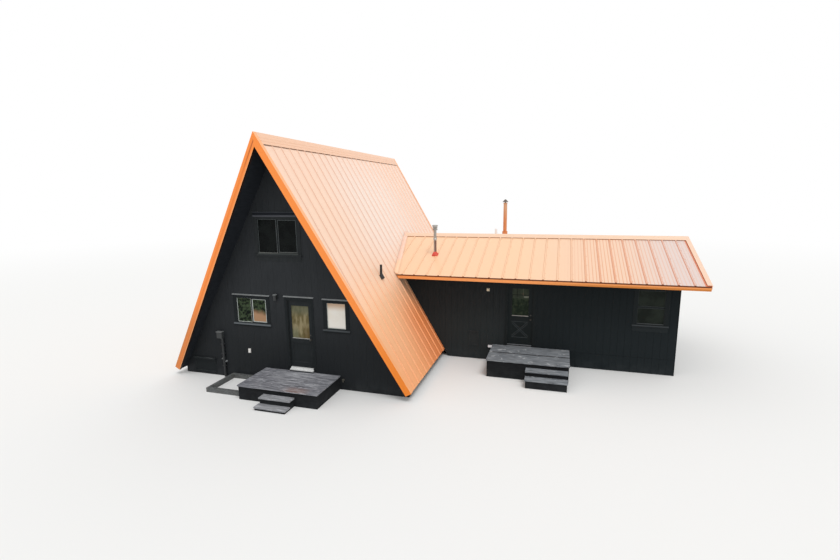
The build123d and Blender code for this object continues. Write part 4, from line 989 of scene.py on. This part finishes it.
wallDrop = (cabin["boards"] + cabin["seat"]) / math.sin(slopeAngle)
gableHeight = cabin["apexZ"] - wallDrop * slopeTan - siding["underSlope"]
gableHalf = cabin["halfSpan"] - cabin["boards"] * math.sin(slopeAngle) - siding["foot"]
gable = {
    "span": (-gableHalf, gableHalf), "top": siding["gableTop"], "finish": "wallFront",
    "limits": [(slopeTan, 1, gableHeight), (-slopeTan, 1, gableHeight)],
}
ceilingDrop = cabin["wingDepth"] / 2 * wingTan
wallTop = wingApexZ - ceilingDrop - cabin["wingBoards"] / math.cos(wingAngle) - siding["underRoof"]
scribeZ = cabin["apexZ"] + siding["scribe"] / math.cos(slopeAngle)
wing = {
    "span": (siding["wingStart"], cabin["wingRight"] + siding["thickness"]), "top": wallTop,
    "limits": [(-slopeTan, -1, -scribeZ)], "finish": "wallWing",
}
endHeight = wallTop + ceilingDrop
endSlope = wingRidgeY * wingTan
hatches = solidsOf("access_hatches")
rearFrames = solidsOf("rear_windows")
curbs = [b for b in solidsOf("window_well_curb") if b[1].y > siding["curbReach"]]
lap, off = siding["frameLap"], siding["offWall"]
walls = {
    "front_siding": {
        **gable, "face": -off, "out": (0, -1, 0), "share": 0.3,
        "holes": holesFrom(boxesOf("upper_window left_window right_window"), lap)
        + holesFrom(boxesOf("front_door_frame"), lap, True)
        + holesFrom(boxesOf("front_deck_boards") + curbs, -siding["gap"], True)
        + holesFrom([b for b in hatches if b[0].x < 0], siding["hatchLap"])},
    "rear_siding": {
        **gable, "face": mainRear + off, "out": (0, 1, 0),
        "holes": holesFrom([b for b in rearFrames if b[1].y > mainRear], lap)},
    "wing_front_siding": {
        **wing, "face": cabin["wingFront"] - off, "out": (0, -1, 0), "share": 0.6,
        "seams": [(siding["seamZ"], siding["seamX"], cabin["wingRight"])],
        "holes": holesFrom(boxesOf("wing_window"), lap) + holesFrom(boxesOf("wing_door_frame"), lap, True)
        + holesFrom(boxesOf("wing_deck_boards"), -siding["gap"], True)
        + holesFrom([b for b in hatches if b[0].x > 0], siding["hatchLap"])},
    "wing_rear_siding": {
        **wing, "face": wingRear + off, "out": (0, 1, 0),
        "holes": holesFrom([b for b in rearFrames if b[1].y < mainRear], lap)},
    "wing_end_siding": {
        "span": (cabin["wingFront"], wingRear), "top": siding["endTop"], "finish": "wallEnd",
        "limits": [(wingTan, 1, endHeight + endSlope), (-wingTan, 1, endHeight - endSlope)],
        "face": cabin["wingRight"] + off, "out": (1, 0, 0), "holes": []},
}
for name, wall in walls.items():
    addSiding(name, wall)
print("stage: siding")


# Runs a Geometry Nodes tree on a mesh and keeps the result as a plain piece
def runNodes(name, tree, values, points):
    mesh = bpy.data.meshes.new(name + "_points")
    mesh.from_pydata([tuple(p) for p in points], [], [])
    holder = newObject(name + "_holder", mesh)
    modifier = holder.modifiers.new("build", "NODES")
    modifier.node_group = tree
    for item in tree.interface.items_tree:
        if item.item_type == "SOCKET" and item.in_out == "INPUT" and item.name in values:
            modifier[item.identifier] = values[item.name]
    graph = bpy.context.evaluated_depsgraph_get()
    made = bpy.data.meshes.new_from_object(holder.evaluated_get(graph), depsgraph=graph)
    bpy.data.objects.remove(holder)
    made.name = name
    return finishPiece(name, made, smooth=30)


def newGeometryTree(name, inputs):
    inputs = [("Points", "Geometry", None), *inputs, ("Material", "Material", None)]
    return newGroup(name, inputs, [("Geometry", "Geometry")], "GeometryNodeTree")


def endTree(tree, instances, given, result):
    realized = addNode(tree, "GeometryNodeRealizeInstances", Geometry=instances)
    painted = addNode(tree, "GeometryNodeSetMaterial", Geometry=realized.outputs[0],
                      Material=given["Material"])
    tree.links.new(painted.outputs[0], result["Geometry"])


screwShape = {"washerSides": 14, "washerHeight": 0.003, "washerTop": 0.72, "headSides": 6, "headTop": 0.86,
              "headLift": 0.0028, "turn": 3.1}


# Hex-head roofing screws with a washer, both a little narrower at the top
def makeScrewTree():
    tree, given, result = newGeometryTree("screwRun", [
        ("Head radius", "Float", 0.006), ("Head height", "Float", 0.005), ("Washer radius", "Float", 0.009),
        ("Turn", "Vector", (0, 0, 0)), ("Seed", "Int", 3)])
    washerTop = maths(tree, "MULTIPLY", given["Washer radius"], screwShape["washerTop"])
    headTop = maths(tree, "MULTIPLY", given["Head radius"], screwShape["headTop"])
    washer = addNode(tree, "GeometryNodeMeshCone", Vertices=screwShape["washerSides"],
                     Depth=screwShape["washerHeight"], Radius_Bottom=given["Washer radius"],
                     Radius_Top=washerTop)
    head = addNode(tree, "GeometryNodeMeshCone", Vertices=screwShape["headSides"],
                   Depth=given["Head height"], Radius_Bottom=given["Head radius"], Radius_Top=headTop)
    lifted = addNode(tree, "GeometryNodeTransform", Geometry=head.outputs[0],
                     Translation=(0, 0, screwShape["headLift"]))
    joined = addNode(tree, "GeometryNodeJoinGeometry", Geometry=washer.outputs[0])
    put(tree, joined, "Geometry", lifted.outputs[0])
    placed = addNode(tree, "GeometryNodeInstanceOnPoints", Points=given["Points"],
                     Instance=joined.outputs[0], Rotation=given["Turn"])
    chance = addNode(tree, "FunctionNodeRandomValue", {"data_type": "FLOAT_VECTOR"},
                     Max=(0, 0, screwShape["turn"]), Seed=given["Seed"])
    turned = addNode(tree, "GeometryNodeRotateInstances", Instances=placed.outputs[0],
                     Rotation=chance.outputs[0])
    endTree(tree, turned.outputs[0], given, result)
    return tree


def axisVector(tree, axis, value):
    return addNode(tree, "ShaderNodeCombineXYZ", **{axis: value}).outputs[0]


# Run of boards with eased edges and small differences in height
def makeBoardTree():
    tree, given, result = newGeometryTree("boardRun", [
        ("Count", "Int", 5), ("Step", "Float", 0.145), ("Length", "Float", 1.0), ("Width", "Float", 0.14),
        ("Thickness", "Float", 0.038), ("Ease", "Float", 0.004), ("Start", "Vector", (0, 0, 0)),
        ("Unevenness", "Float", 0.001), ("Seed", "Int", 7)])
    profile = addNode(tree, "GeometryNodeCurvePrimitiveQuadrilateral", Height=given["Thickness"],
                      Width=given["Width"])
    eased = addNode(tree, "GeometryNodeFilletCurve", Curve=profile.outputs[0], Radius=given["Ease"])
    half = maths(tree, "MULTIPLY", given["Length"], 0.5)
    ends = [axisVector(tree, "X", maths(tree, "MULTIPLY", half, sign)) for sign in (-1, 1)]
    rail = addNode(tree, "GeometryNodeCurvePrimitiveLine", Start=ends[0], End=ends[1])
    board = addNode(tree, "GeometryNodeCurveToMesh", Curve=rail.outputs[0], Profile_Curve=eased.outputs[0],
                    Fill_Caps=True)
    line = addNode(tree, "GeometryNodeMeshLine", Count=given["Count"], Start_Location=given["Start"],
                   Offset=axisVector(tree, "Y", given["Step"]))
    placed = addNode(tree, "GeometryNodeInstanceOnPoints", Points=line.outputs[0], Instance=board.outputs[0])
    chance = addNode(tree, "FunctionNodeRandomValue", {"data_type": "FLOAT"}, Seed=given["Seed"])
    put(tree, chance, "#3", given["Unevenness"])
    lower = axisVector(tree, "Z", maths(tree, "MULTIPLY", chance.outputs[1], -1.0))
    moved = addNode(tree, "GeometryNodeTranslateInstances", Instances=placed.outputs[0], Translation=lower)
    endTree(tree, moved.outputs[0], given, result)
    return tree


screwTree = makeScrewTree()
boardTree = makeBoardTree()

# Deck boards in place of the plain CAD slabs; each tread is one board
decks = {
    "front_deck": {"finish": "deck", "boards": 9, "gap": 0.004, "seed": 11},
    "wing_deck": {"finish": "wingDeck", "boards": 2, "gap": 0.03, "seed": 23},
}
for deckName, plan in decks.items():
    solids = sorted(solidsOf(deckName + "_boards"), key=lambda b: -b[1].z)
    for number, (low, high) in enumerate(solids):
        count = plan["boards"] if number == 0 else 1
        step = (high.y - low.y + plan["gap"]) / count
        width = step - plan["gap"]
        values = {
            "Count": count, "Step": step, "Length": high.x - low.x, "Width": width,
            "Thickness": high.z - low.z, "Ease": 0.004, "Unevenness": 0.0015, "Seed": plan["seed"] + number,
            "Start": ((low.x + high.x) / 2, low.y + width / 2, (low.z + high.z) / 2),
            "Material": looks[plan["finish"]]}
        label = deckName + ("_top" if number == 0 else f"_tread_{number}")
        runNodes(label, boardTree, values, [])
    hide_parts(deckName + "_boards")
print("stage: decks")

# Roofing screws in rows down each slope, beside the ribs
screws = {
    "headRadius": 0.0065, "headHeight": 0.006, "washerRadius": 0.01, "rowStep": 0.61, "firstRow": 0.42,
    "beside": 0.05, "lift": 0.0015, "seed": 5, "lastRow": 0.07, "rowClear": 0.05, "frontEdge": 0.15,
    "rearEdge": 0.2, "wingFrom": 2.0, "offSlope": 0.3, "coveredTop": 3.9, "coveredBack": 8.8,
}
sides = {"left": -1, "right": 1}
wingSides = {"front": -1, "rear": 1}


def ribPlaces(first, low, high):
    pitch = cabin["ribPitch"]
    start, end = math.floor((low - first) / pitch), math.ceil((high - first) / pitch)
    return [p for p in (first + count * pitch for count in range(start, end + 1)) if low < p < high]


def mainRibs(low, high):
    return ribPlaces(cabin["frontFirstRib"], low, high)


def wingRibs(low, high):
    return ribPlaces(cabin["wingEndX"], low, high)


def screwRows(length):
    rows = []
    down = screws["firstRow"]
    while down < length - screws["rowClear"]:
        rows.append(down)
        down += screws["rowStep"]
    return rows + [length - screws["lastRow"]]


def underWingRoof(spot):
    return (spot.x > 0 and spot.z < screws["coveredTop"]
            and cabin["wingFront"] - screws["offSlope"] < spot.y < screws["coveredBack"])


def addScrews(name, spots, turn, seed):
    runNodes(name, screwTree, {
        "Head radius": screws["headRadius"], "Head height": screws["headHeight"],
        "Washer radius": screws["washerRadius"], "Turn": turn, "Seed": seed, "Material": looks["screw"]},
        spots)


for label, side in sides.items():
    last = cabin["rearEdge"] - screws["rearEdge"]
    spots = [mainPoint(side, down, rib + screws["beside"], screws["lift"]) for down in screwRows(slopeLength)
             for rib in mainRibs(frontEdge(down) + screws["frontEdge"], last)]
    spots = [spot for spot in spots if not underWingRoof(spot)]
    addScrews(label + "_roof_screws", spots, (0, side * slopeAngle, 0), screws["seed"])
for label, side in wingSides.items():
    spots = [wingPoint(side, down, rib + screws["beside"], screws["lift"])
             for down in screwRows(wingSlopeLength)
             for rib in wingRibs(screws["wingFrom"], cabin["wingEndX"] - screws["rearEdge"])]
    spots = [spot for spot in spots if spot.x > mainHalf(spot.z) + screws["offSlope"]]
    addScrews(f"wing_{label}_roof_screws", spots, (-side * wingAngle, 0, 0), screws["seed"] + 1)
print("stage: roof screws")

# Dark foam closures under the ribs at the eaves
closures = {
    "depth": 0.012, "setBack": 0.006, "baseLess": 0.006, "topLess": 0.001, "riseLess": 0.005, "sink": -0.001,
    "ease": 0.001, "fromEdge": 0.15, "front": -0.2, "wingFrom": 4.0, "mainDown": 0.02, "wingDown": 0.042,
}


def addClosures(name, places, spot, lengthDown):
    bm = bmesh.new()
    base = cabin["ribBase"] / 2 - closures["baseLess"]
    top = cabin["ribTop"] / 2 - closures["topLess"]
    rise = cabin["ribHeight"] - closures["riseLess"]
    far = lengthDown - closures["setBack"]
    near = far - closures["depth"]
    outline = ((-base, closures["sink"]), (base, closures["sink"]), (top, rise), (-top, rise))
    for place in places:
        addPrism(bm, [spot(near, place + a, h) for a, h in outline], (0, 0, 0),
                 spot(far, place) - spot(near, place))
    bevelAll(bm, closures["ease"], 1)
    finishMesh(name, bm, "foam")


for label, side in sides.items():
    addClosures(f"{label}_eave_closures",
                mainRibs(closures["front"], cabin["rearEdge"] - closures["fromEdge"]),
                partial(mainPoint, side), slopeLength + closures["mainDown"])
for label, side in wingSides.items():
    addClosures(f"wing_{label}_eave_closures",
                wingRibs(closures["wingFrom"], cabin["wingEndX"] - closures["fromEdge"]),
                partial(wingPoint, side), wingSlopeLength + closures["wingDown"])

# Dark strip that fills the space between the ribs under each lower edge of the ridge caps; the main roof's
# strips are darker still, as painted shade under the cap
capStrip = {
    "down": 0.31, "inside": 0.012, "depth": 0.012, "beside": 0.002, "low": 0.0004, "high": 0.0198,
    "ease": 0.001, "fromEnd": 0.12, "ribClear": 0.04, "offSlope": 0.25,
}


def addCapStrip(name, ribs, low, high, spot, finish):
    bm = bmesh.new()
    half = cabin["ribBase"] / 2 + capStrip["beside"]
    places = ribs(low + capStrip["ribClear"], high - capStrip["ribClear"])
    edges = [low] + [e for p in places for e in (p - half, p + half)] + [high]
    far = capStrip["down"] - capStrip["inside"]
    for start, end in zip(edges[::2], edges[1::2]):
        addCorners(bm, [spot(d, a, h) for d in (far, far - capStrip["depth"]) for a in (start, end)
                        for h in (capStrip["low"], capStrip["high"])])
    bevelAll(bm, capStrip["ease"], 1)
    finishMesh(name, bm, finish)


for label, side in sides.items():
    addCapStrip(f"{label}_cap_strip", mainRibs, frontEdge(capStrip["down"]) + capStrip["fromEnd"],
                cabin["rearEdge"] - capStrip["fromEnd"], partial(mainPoint, side), "capShade")
for label, side in wingSides.items():
    addCapStrip(f"wing_{label}_cap_strip", wingRibs, mainHalf(wingApexZ) + capStrip["offSlope"],
                cabin["wingEndX"] - capStrip["fromEnd"], partial(wingPoint, side), "foam")
print("stage: closures")

# Window sashes: a ring round every pane, white in the low front windows and dark elsewhere
sash = {
    "bar": 0.02, "fixedSide": 0.008, "head": 0.014, "depth": 0.012, "edge": 0.002, "lap": 0.004,
    "leftOf": -1.0,
}
whiteFrames = boxesOf("left_window right_window")
white, dark = bmesh.new(), bmesh.new()
for low, high in solidsOf("window_glass"):
    outward = -1 if low.y < wingRidgeY else 1
    near = low.y if outward < 0 else high.y
    isWhite = low.y < cabin["wingFront"] and any(
        a.x < low.x and high.x < b.x and a.z < low.z and high.z < b.z for a, b in whiteFrames)
    rect = (low.x - sash["lap"], high.x + sash["lap"], low.z - sash["lap"], high.z + sash["lap"])
    bar = sash["bar"]
    if isWhite:
        bar = (bar, sash["fixedSide"] if high.x < sash["leftOf"] else bar, bar, sash["head"])
    addRing(white if isWhite else dark, rect, bar, near, near + outward * sash["depth"])
for bm, label, finish, slotName in ((white, "white_sashes", "vinyl", "window_vinyl"),
                                    (dark, "dark_sashes", "sash", "casing")):
    bevelAll(bm, sash["edge"], 2)
    finishMesh(label, bm, finish)
print("stage: sashes")

# Bright folded drip caps over the two low front windows and the front door
drip = {
    "thickness": 0.0015, "lip": 0.012, "hem": 0.002, "rise": 0.02, "over": 0.003, "seat": 0.0006,
    "windowFront": -0.032,
}
bm = bmesh.new()
for nodeName in ("left_window", "right_window", "front_door_frame"):
    low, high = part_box(nodeName)
    front = low.y if nodeName == "front_door_frame" else drip["windowFront"]
    t, wallFace = drip["thickness"], -siding["thickness"]
    seat, lip, rise = high.z + drip["seat"], high.z - drip["lip"], high.z + drip["rise"]
    outline = [(0, seat), (front - t, seat), (front - t, lip), (front - 2 * t, lip - drip["hem"]),
               (front - 2 * t, seat + t), (wallFace - t, seat + t), (wallFace - t, rise), (wallFace, rise),
               (0, seat + t)]
    addPrism(bm, [(0, y, z) for y, z in outline], (low.x - drip["over"], 0, 0),
             (high.x - low.x + 2 * drip["over"], 0, 0))
finishMesh("front_drip_caps", bm, "flashing")
print("stage: drip caps")

# Door furniture: mouldings round the glass, a weather bar at the foot, a glass stop and a lock rose
doorKit = {
    "round": 0.012, "mould": 0.018, "proud": 0.006, "sink": 0.004, "insideProud": 0.003, "mouldEase": 0.003,
    "barSide": 0.02, "barProud": 0.012, "barSink": 0.001, "barLow": 0.012, "barHigh": 0.05,
    "stopSide": 0.001, "stopLow": 0.004, "stop": 0.024, "stopProud": 0.004, "stopGap": 0.0005,
    "stopEase": 0.002, "lockRise": 0.14, "lockRadius": 0.024,
    "lockSteps": ((1, -0.001), (1, 0.004), (0.85, 0.009), (0.45, 0.011), (0.4, 0.012)),
}
for doorName in ("front_door", "wing_door"):
    leafLow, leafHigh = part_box(doorName + "_leaf")
    glassLow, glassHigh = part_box(doorName + "_glass")
    knobLow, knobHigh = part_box(doorName + "_knobs")
    bm = bmesh.new()
    wide = doorKit["round"]
    rect = (glassLow.x - wide, glassHigh.x + wide, glassLow.z - wide, glassHigh.z + wide)
    addRing(bm, rect, doorKit["mould"], leafLow.y - doorKit["proud"], leafLow.y + doorKit["sink"])
    addRing(bm, rect, doorKit["mould"], leafHigh.y - doorKit["sink"], leafHigh.y + doorKit["insideProud"])
    barLeft, barRight = leafLow.x + doorKit["barSide"], leafHigh.x - doorKit["barSide"]
    addBox(bm, (barLeft, leafLow.y - doorKit["barProud"], leafLow.z + doorKit["barLow"]),
           (barRight, leafLow.y + doorKit["barSink"], leafLow.z + doorKit["barHigh"]))
    bevelAll(bm, doorKit["mouldEase"], 2)
    finishMesh(doorName + "_mouldings", bm, "door", doorName)
    bm = bmesh.new()
    stopLeft, stopRight = glassLow.x + doorKit["stopSide"], glassHigh.x - doorKit["stopSide"]
    addBox(bm, (stopLeft, leafLow.y - doorKit["stopProud"], glassLow.z + doorKit["stopLow"]),
           (stopRight, glassLow.y - doorKit["stopGap"], glassLow.z + doorKit["stop"]))
    bevelAll(bm, doorKit["stopEase"], 2)
    finishMesh(doorName + "_glass_stop", bm, "glassStop", doorName)
    bm = bmesh.new()
    centre = ((knobLow.x + knobHigh.x) / 2, leafLow.y, (knobLow.z + knobHigh.z) / 2 + doorKit["lockRise"])
    addLathe(bm, [(doorKit["lockRadius"] * share, height) for share, height in doorKit["lockSteps"]], centre,
             (0, -1, 0))
    finishMesh(doorName + "_lock", bm, "knob", doorName, smooth=40)

# Light edges along the crossbuck and along the foot and head of the wing door's lower panel, painted light
# as highlights on those edges
cross = {
    "margin": 0.13, "low": 0.245, "high": 0.765, "batten": 0.06, "bead": 0.011, "proud": 0.004,
    "gap": 0.0005, "endGap": 0.01, "edge": 0.012, "ease": 0.0012,
}
leafLow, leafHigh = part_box("wing_door_leaf")
left, right = leafLow.x + cross["margin"], leafHigh.x - cross["margin"]
foot, head = leafLow.z + cross["low"], leafLow.z + cross["high"]
front, back = leafLow.y - cross["proud"], leafLow.y - cross["gap"]
middle = Vector(((left + right) / 2, 0, (foot + head) / 2))
lean = math.atan2(head - foot, right - left)
bm = bmesh.new()
for sign in (-1, 1):
    along = Vector((math.cos(lean), 0, sign * math.sin(lean)))
    aside = Vector((-along.z, 0, along.x))
    half = aside * (cross["bead"] / 2)
    for shift in (-cross["batten"] / 2, cross["batten"] / 2):
        centre = middle + aside * (shift - math.copysign(cross["bead"] / 2, shift))
        spans = [sorted(((low - centre[axis]) / along[axis], (high - centre[axis]) / along[axis]))
                 for axis, low, high in ((0, left, right), (2, foot, head))]
        near = centre + along * (max(span[0] for span in spans) + cross["endGap"])
        far = centre + along * (min(span[1] for span in spans) - cross["endGap"])
        outline = [(p.x, front, p.z) for p in (near - half, far - half, far + half, near + half)]
        addPrism(bm, outline, (0, 0, 0), (0, back - front, 0))
for z in (foot - cross["edge"], head):
    addBox(bm, (left, front, z), (right, back, z + cross["edge"]))
bevelAll(bm, cross["ease"], 2)
finishMesh("wing_door_crossbuck_edges", bm, "crossEdge", "wing_door")

# Pale plate over the sill under the front door
sillCover = {"front": 0.002, "back": 0.0005, "under": 0.001, "over": 0.002, "ease": 0.0008}
sillHigh = solidsOf("door_thresholds")[0][1]
plateLow, plateHigh = solidsOf("door_thresholds")[1]
bm = bmesh.new()
addBox(bm, (plateLow.x, plateLow.y - sillCover["front"], sillHigh.z - sillCover["under"]),
       (plateHigh.x, plateLow.y + sillCover["back"], plateLow.z + sillCover["over"]))
bevelAll(bm, sillCover["ease"], 2)
finishMesh("front_sill_cover", bm, "threshold")
print("stage: door furniture")

# Utility box face and conduit straps
utility = {
    "narrow": 0.1, "margin": 0.03, "headMargin": 0.05, "faceFront": 0.016, "faceBack": 0.03,
    "strapHeights": (0.35, 0.75, 1.05), "strap": 0.02, "strapSide": 0.02, "strapProud": 0.002, "ease": 0.002,
}
boxLow, boxHigh = [b for b in solidsOf("utility_box") if b[1].x - b[0].x > utility["narrow"]][0]
pipeLow, pipeHigh = [b for b in solidsOf("utility_box") if b[1].x - b[0].x < utility["narrow"]][0]
bm = bmesh.new()
addBox(bm, (boxLow.x + utility["margin"], boxLow.y + utility["faceFront"], boxLow.z + utility["margin"]),
       (boxHigh.x - utility["margin"], boxLow.y + utility["faceBack"], boxHigh.z - utility["headMargin"]))
for z in utility["strapHeights"]:
    addBox(bm, (pipeLow.x - utility["strapSide"], pipeLow.y - utility["strapProud"], z),
           (pipeHigh.x + utility["strapSide"], 0.0, z + utility["strap"]))
bevelAll(bm, utility["ease"], 2)
finishMesh("utility_details", bm, "boxGrey")

# Two small fittings beside the low hatch
hatchFitting = {
    "places": ((-2.32, 0.58), (-2.20, 0.50)), "sink": -0.004, "steps": 20,
    "profile": ((0.028, 0.0), (0.028, 0.03), (0.02, 0.04), (0.012, 0.05), (0.012, 0.075)),
}
bm = bmesh.new()
for x, z in hatchFitting["places"]:
    addLathe(bm, hatchFitting["profile"], (x, hatchFitting["sink"], z), (0, -1, 0), hatchFitting["steps"])
finishMesh("hatch_fittings", bm, "flashing", smooth=40)

# Dark shell and bright lid of the downlight, the lid's light tone being a painted highlight on the lamp's
# top; the lid's steps are measured from its radius and its top
downlight = {
    "shell": 0.0015, "below": 0.002, "shellTop": -0.016, "middle": 0.002, "steps": 32,
    "lid": ((0.0025, -0.015), (0.011, -0.014), (0.011, -0.004), (0.0, 0.003)), "lidMiddle": (0.004, 0.004),
}
lampLow, lampHigh = solidsOf("wall_lights")[0]
radius = (lampHigh.x - lampLow.x) / 2
shell, shellTop = radius + downlight["shell"], lampHigh.z + downlight["shellTop"]
lidMiddle, lidTop = downlight["lidMiddle"]
profiles = {
    "downlight_shell": [(shell, lampLow.z - downlight["below"]), (shell, shellTop),
                        (downlight["middle"], shellTop)],
    "downlight_lid": [(radius + out, lampHigh.z + up) for out, up in downlight["lid"]]
    + [(lidMiddle, lampHigh.z + lidTop)],
}
for (name, profile), finish in zip(profiles.items(), ("darkEnamel", "lampLid")):
    bm = bmesh.new()
    centre = ((lampLow.x + lampHigh.x) / 2, lampLow.y + radius, 0)
    addLathe(bm, profile, centre, (0, 0, 1), downlight["steps"])
    finishMesh(name, bm, finish, smooth=40)
print("stage: fittings")

# Camera at the photograph's place; angles in degrees, lens and sensor in millimetres
cameraPlan = {
    "place": (7.6147, -11.4832, 5.5826), "yaw": -16.8678, "pitch": -10.5959, "roll": -0.7132,
    "lens": 19.906, "sensor": 36.0, "reach": 500,
}
yaw, pitch, roll = (math.radians(cameraPlan[k]) for k in ("yaw", "pitch", "roll"))
forward = Vector((math.sin(yaw) * math.cos(pitch), math.cos(yaw) * math.cos(pitch), math.sin(pitch)))
right = forward.cross(Vector((0, 0, 1))).normalized()
up = right.cross(forward)
tiltedRight = right * math.cos(roll) + up * math.sin(roll)
tiltedUp = up * math.cos(roll) - right * math.sin(roll)
cameraData = bpy.data.cameras.new("photoCamera")
cameraData.sensor_width = cameraPlan["sensor"]
cameraData.lens = cameraPlan["lens"]
cameraData.clip_end = cameraPlan["reach"]
camera = newObject("photoCamera", cameraData)
turn = Matrix((tiltedRight, tiltedUp, -forward)).transposed().to_4x4()
camera.matrix_world = Matrix.Translation(Vector(cameraPlan["place"])) @ turn
bpy.context.scene.camera = camera

# Pale floor that fades to white far away, a white sky and one wide, soft sun
studio = {
    "floor": (0.82, 0.82, 0.81, 1), "fade": (18.0, 60.0), "radius": 160, "segments": 96,
    "white": (1.0, 1.0, 1.0, 1), "sky": 0.8, "seenSky": 1.0, "sun": 1.2, "sunWidth": 25,
    "sunAim": (-0.35, 0.35, -1.0),
}


def makeFloor():
    material, tree, output, place = startMaterial("floorPale")
    far = ramp(tree, vectorMaths(tree, "LENGTH", place)["Value"], *studio["fade"])
    near = addNode(tree, "ShaderNodeBsdfDiffuse", Color=studio["floor"])
    glow = addNode(tree, "ShaderNodeEmission", Strength=1.0)
    tree.links.new(mixShaders(tree, far, near.outputs[0], glow.outputs[0]), output.inputs[0])
    bm = bmesh.new()
    bmesh.ops.create_circle(bm, cap_ends=True, segments=studio["segments"], radius=studio["radius"])
    mesh = meshFrom("studio_floor", bm)
    mesh.materials.append(material)
    floor = newObject("studio_floor", mesh)


def makeLight():
    world = bpy.data.worlds.new("studioSky")
    world.use_nodes = True
    bpy.context.scene.world = world
    tree = world.node_tree
    tree.nodes.clear()
    output = tree.nodes.new("ShaderNodeOutputWorld")
    soft = addNode(tree, "ShaderNodeBackground", Strength=studio["sky"], Color=studio["white"])
    plain = addNode(tree, "ShaderNodeBackground", Strength=studio["seenSky"], Color=studio["white"])
    path = tree.nodes.new("ShaderNodeLightPath").outputs
    seen = maths(tree, "ADD", path["Is Camera Ray"], path["Is Glossy Ray"])
    seen = maths(tree, "ADD", seen, path["Is Transmission Ray"], True)
    tree.links.new(mixShaders(tree, seen, soft.outputs[0], plain.outputs[0]), output.inputs[0])
    sun = bpy.data.lights.new("softSun", "SUN")
    sun.energy = studio["sun"]
    sun.angle = math.radians(studio["sunWidth"])
    sunObject = newObject("softSun", sun)
    sunObject.rotation_mode = "QUATERNION"
    sunObject.rotation_quaternion = Vector(studio["sunAim"]).to_track_quat("-Z", "Y")


makeFloor()
makeLight()
bpy.context.scene.view_settings.view_transform = "Standard"
print("stage: camera, floor and light")
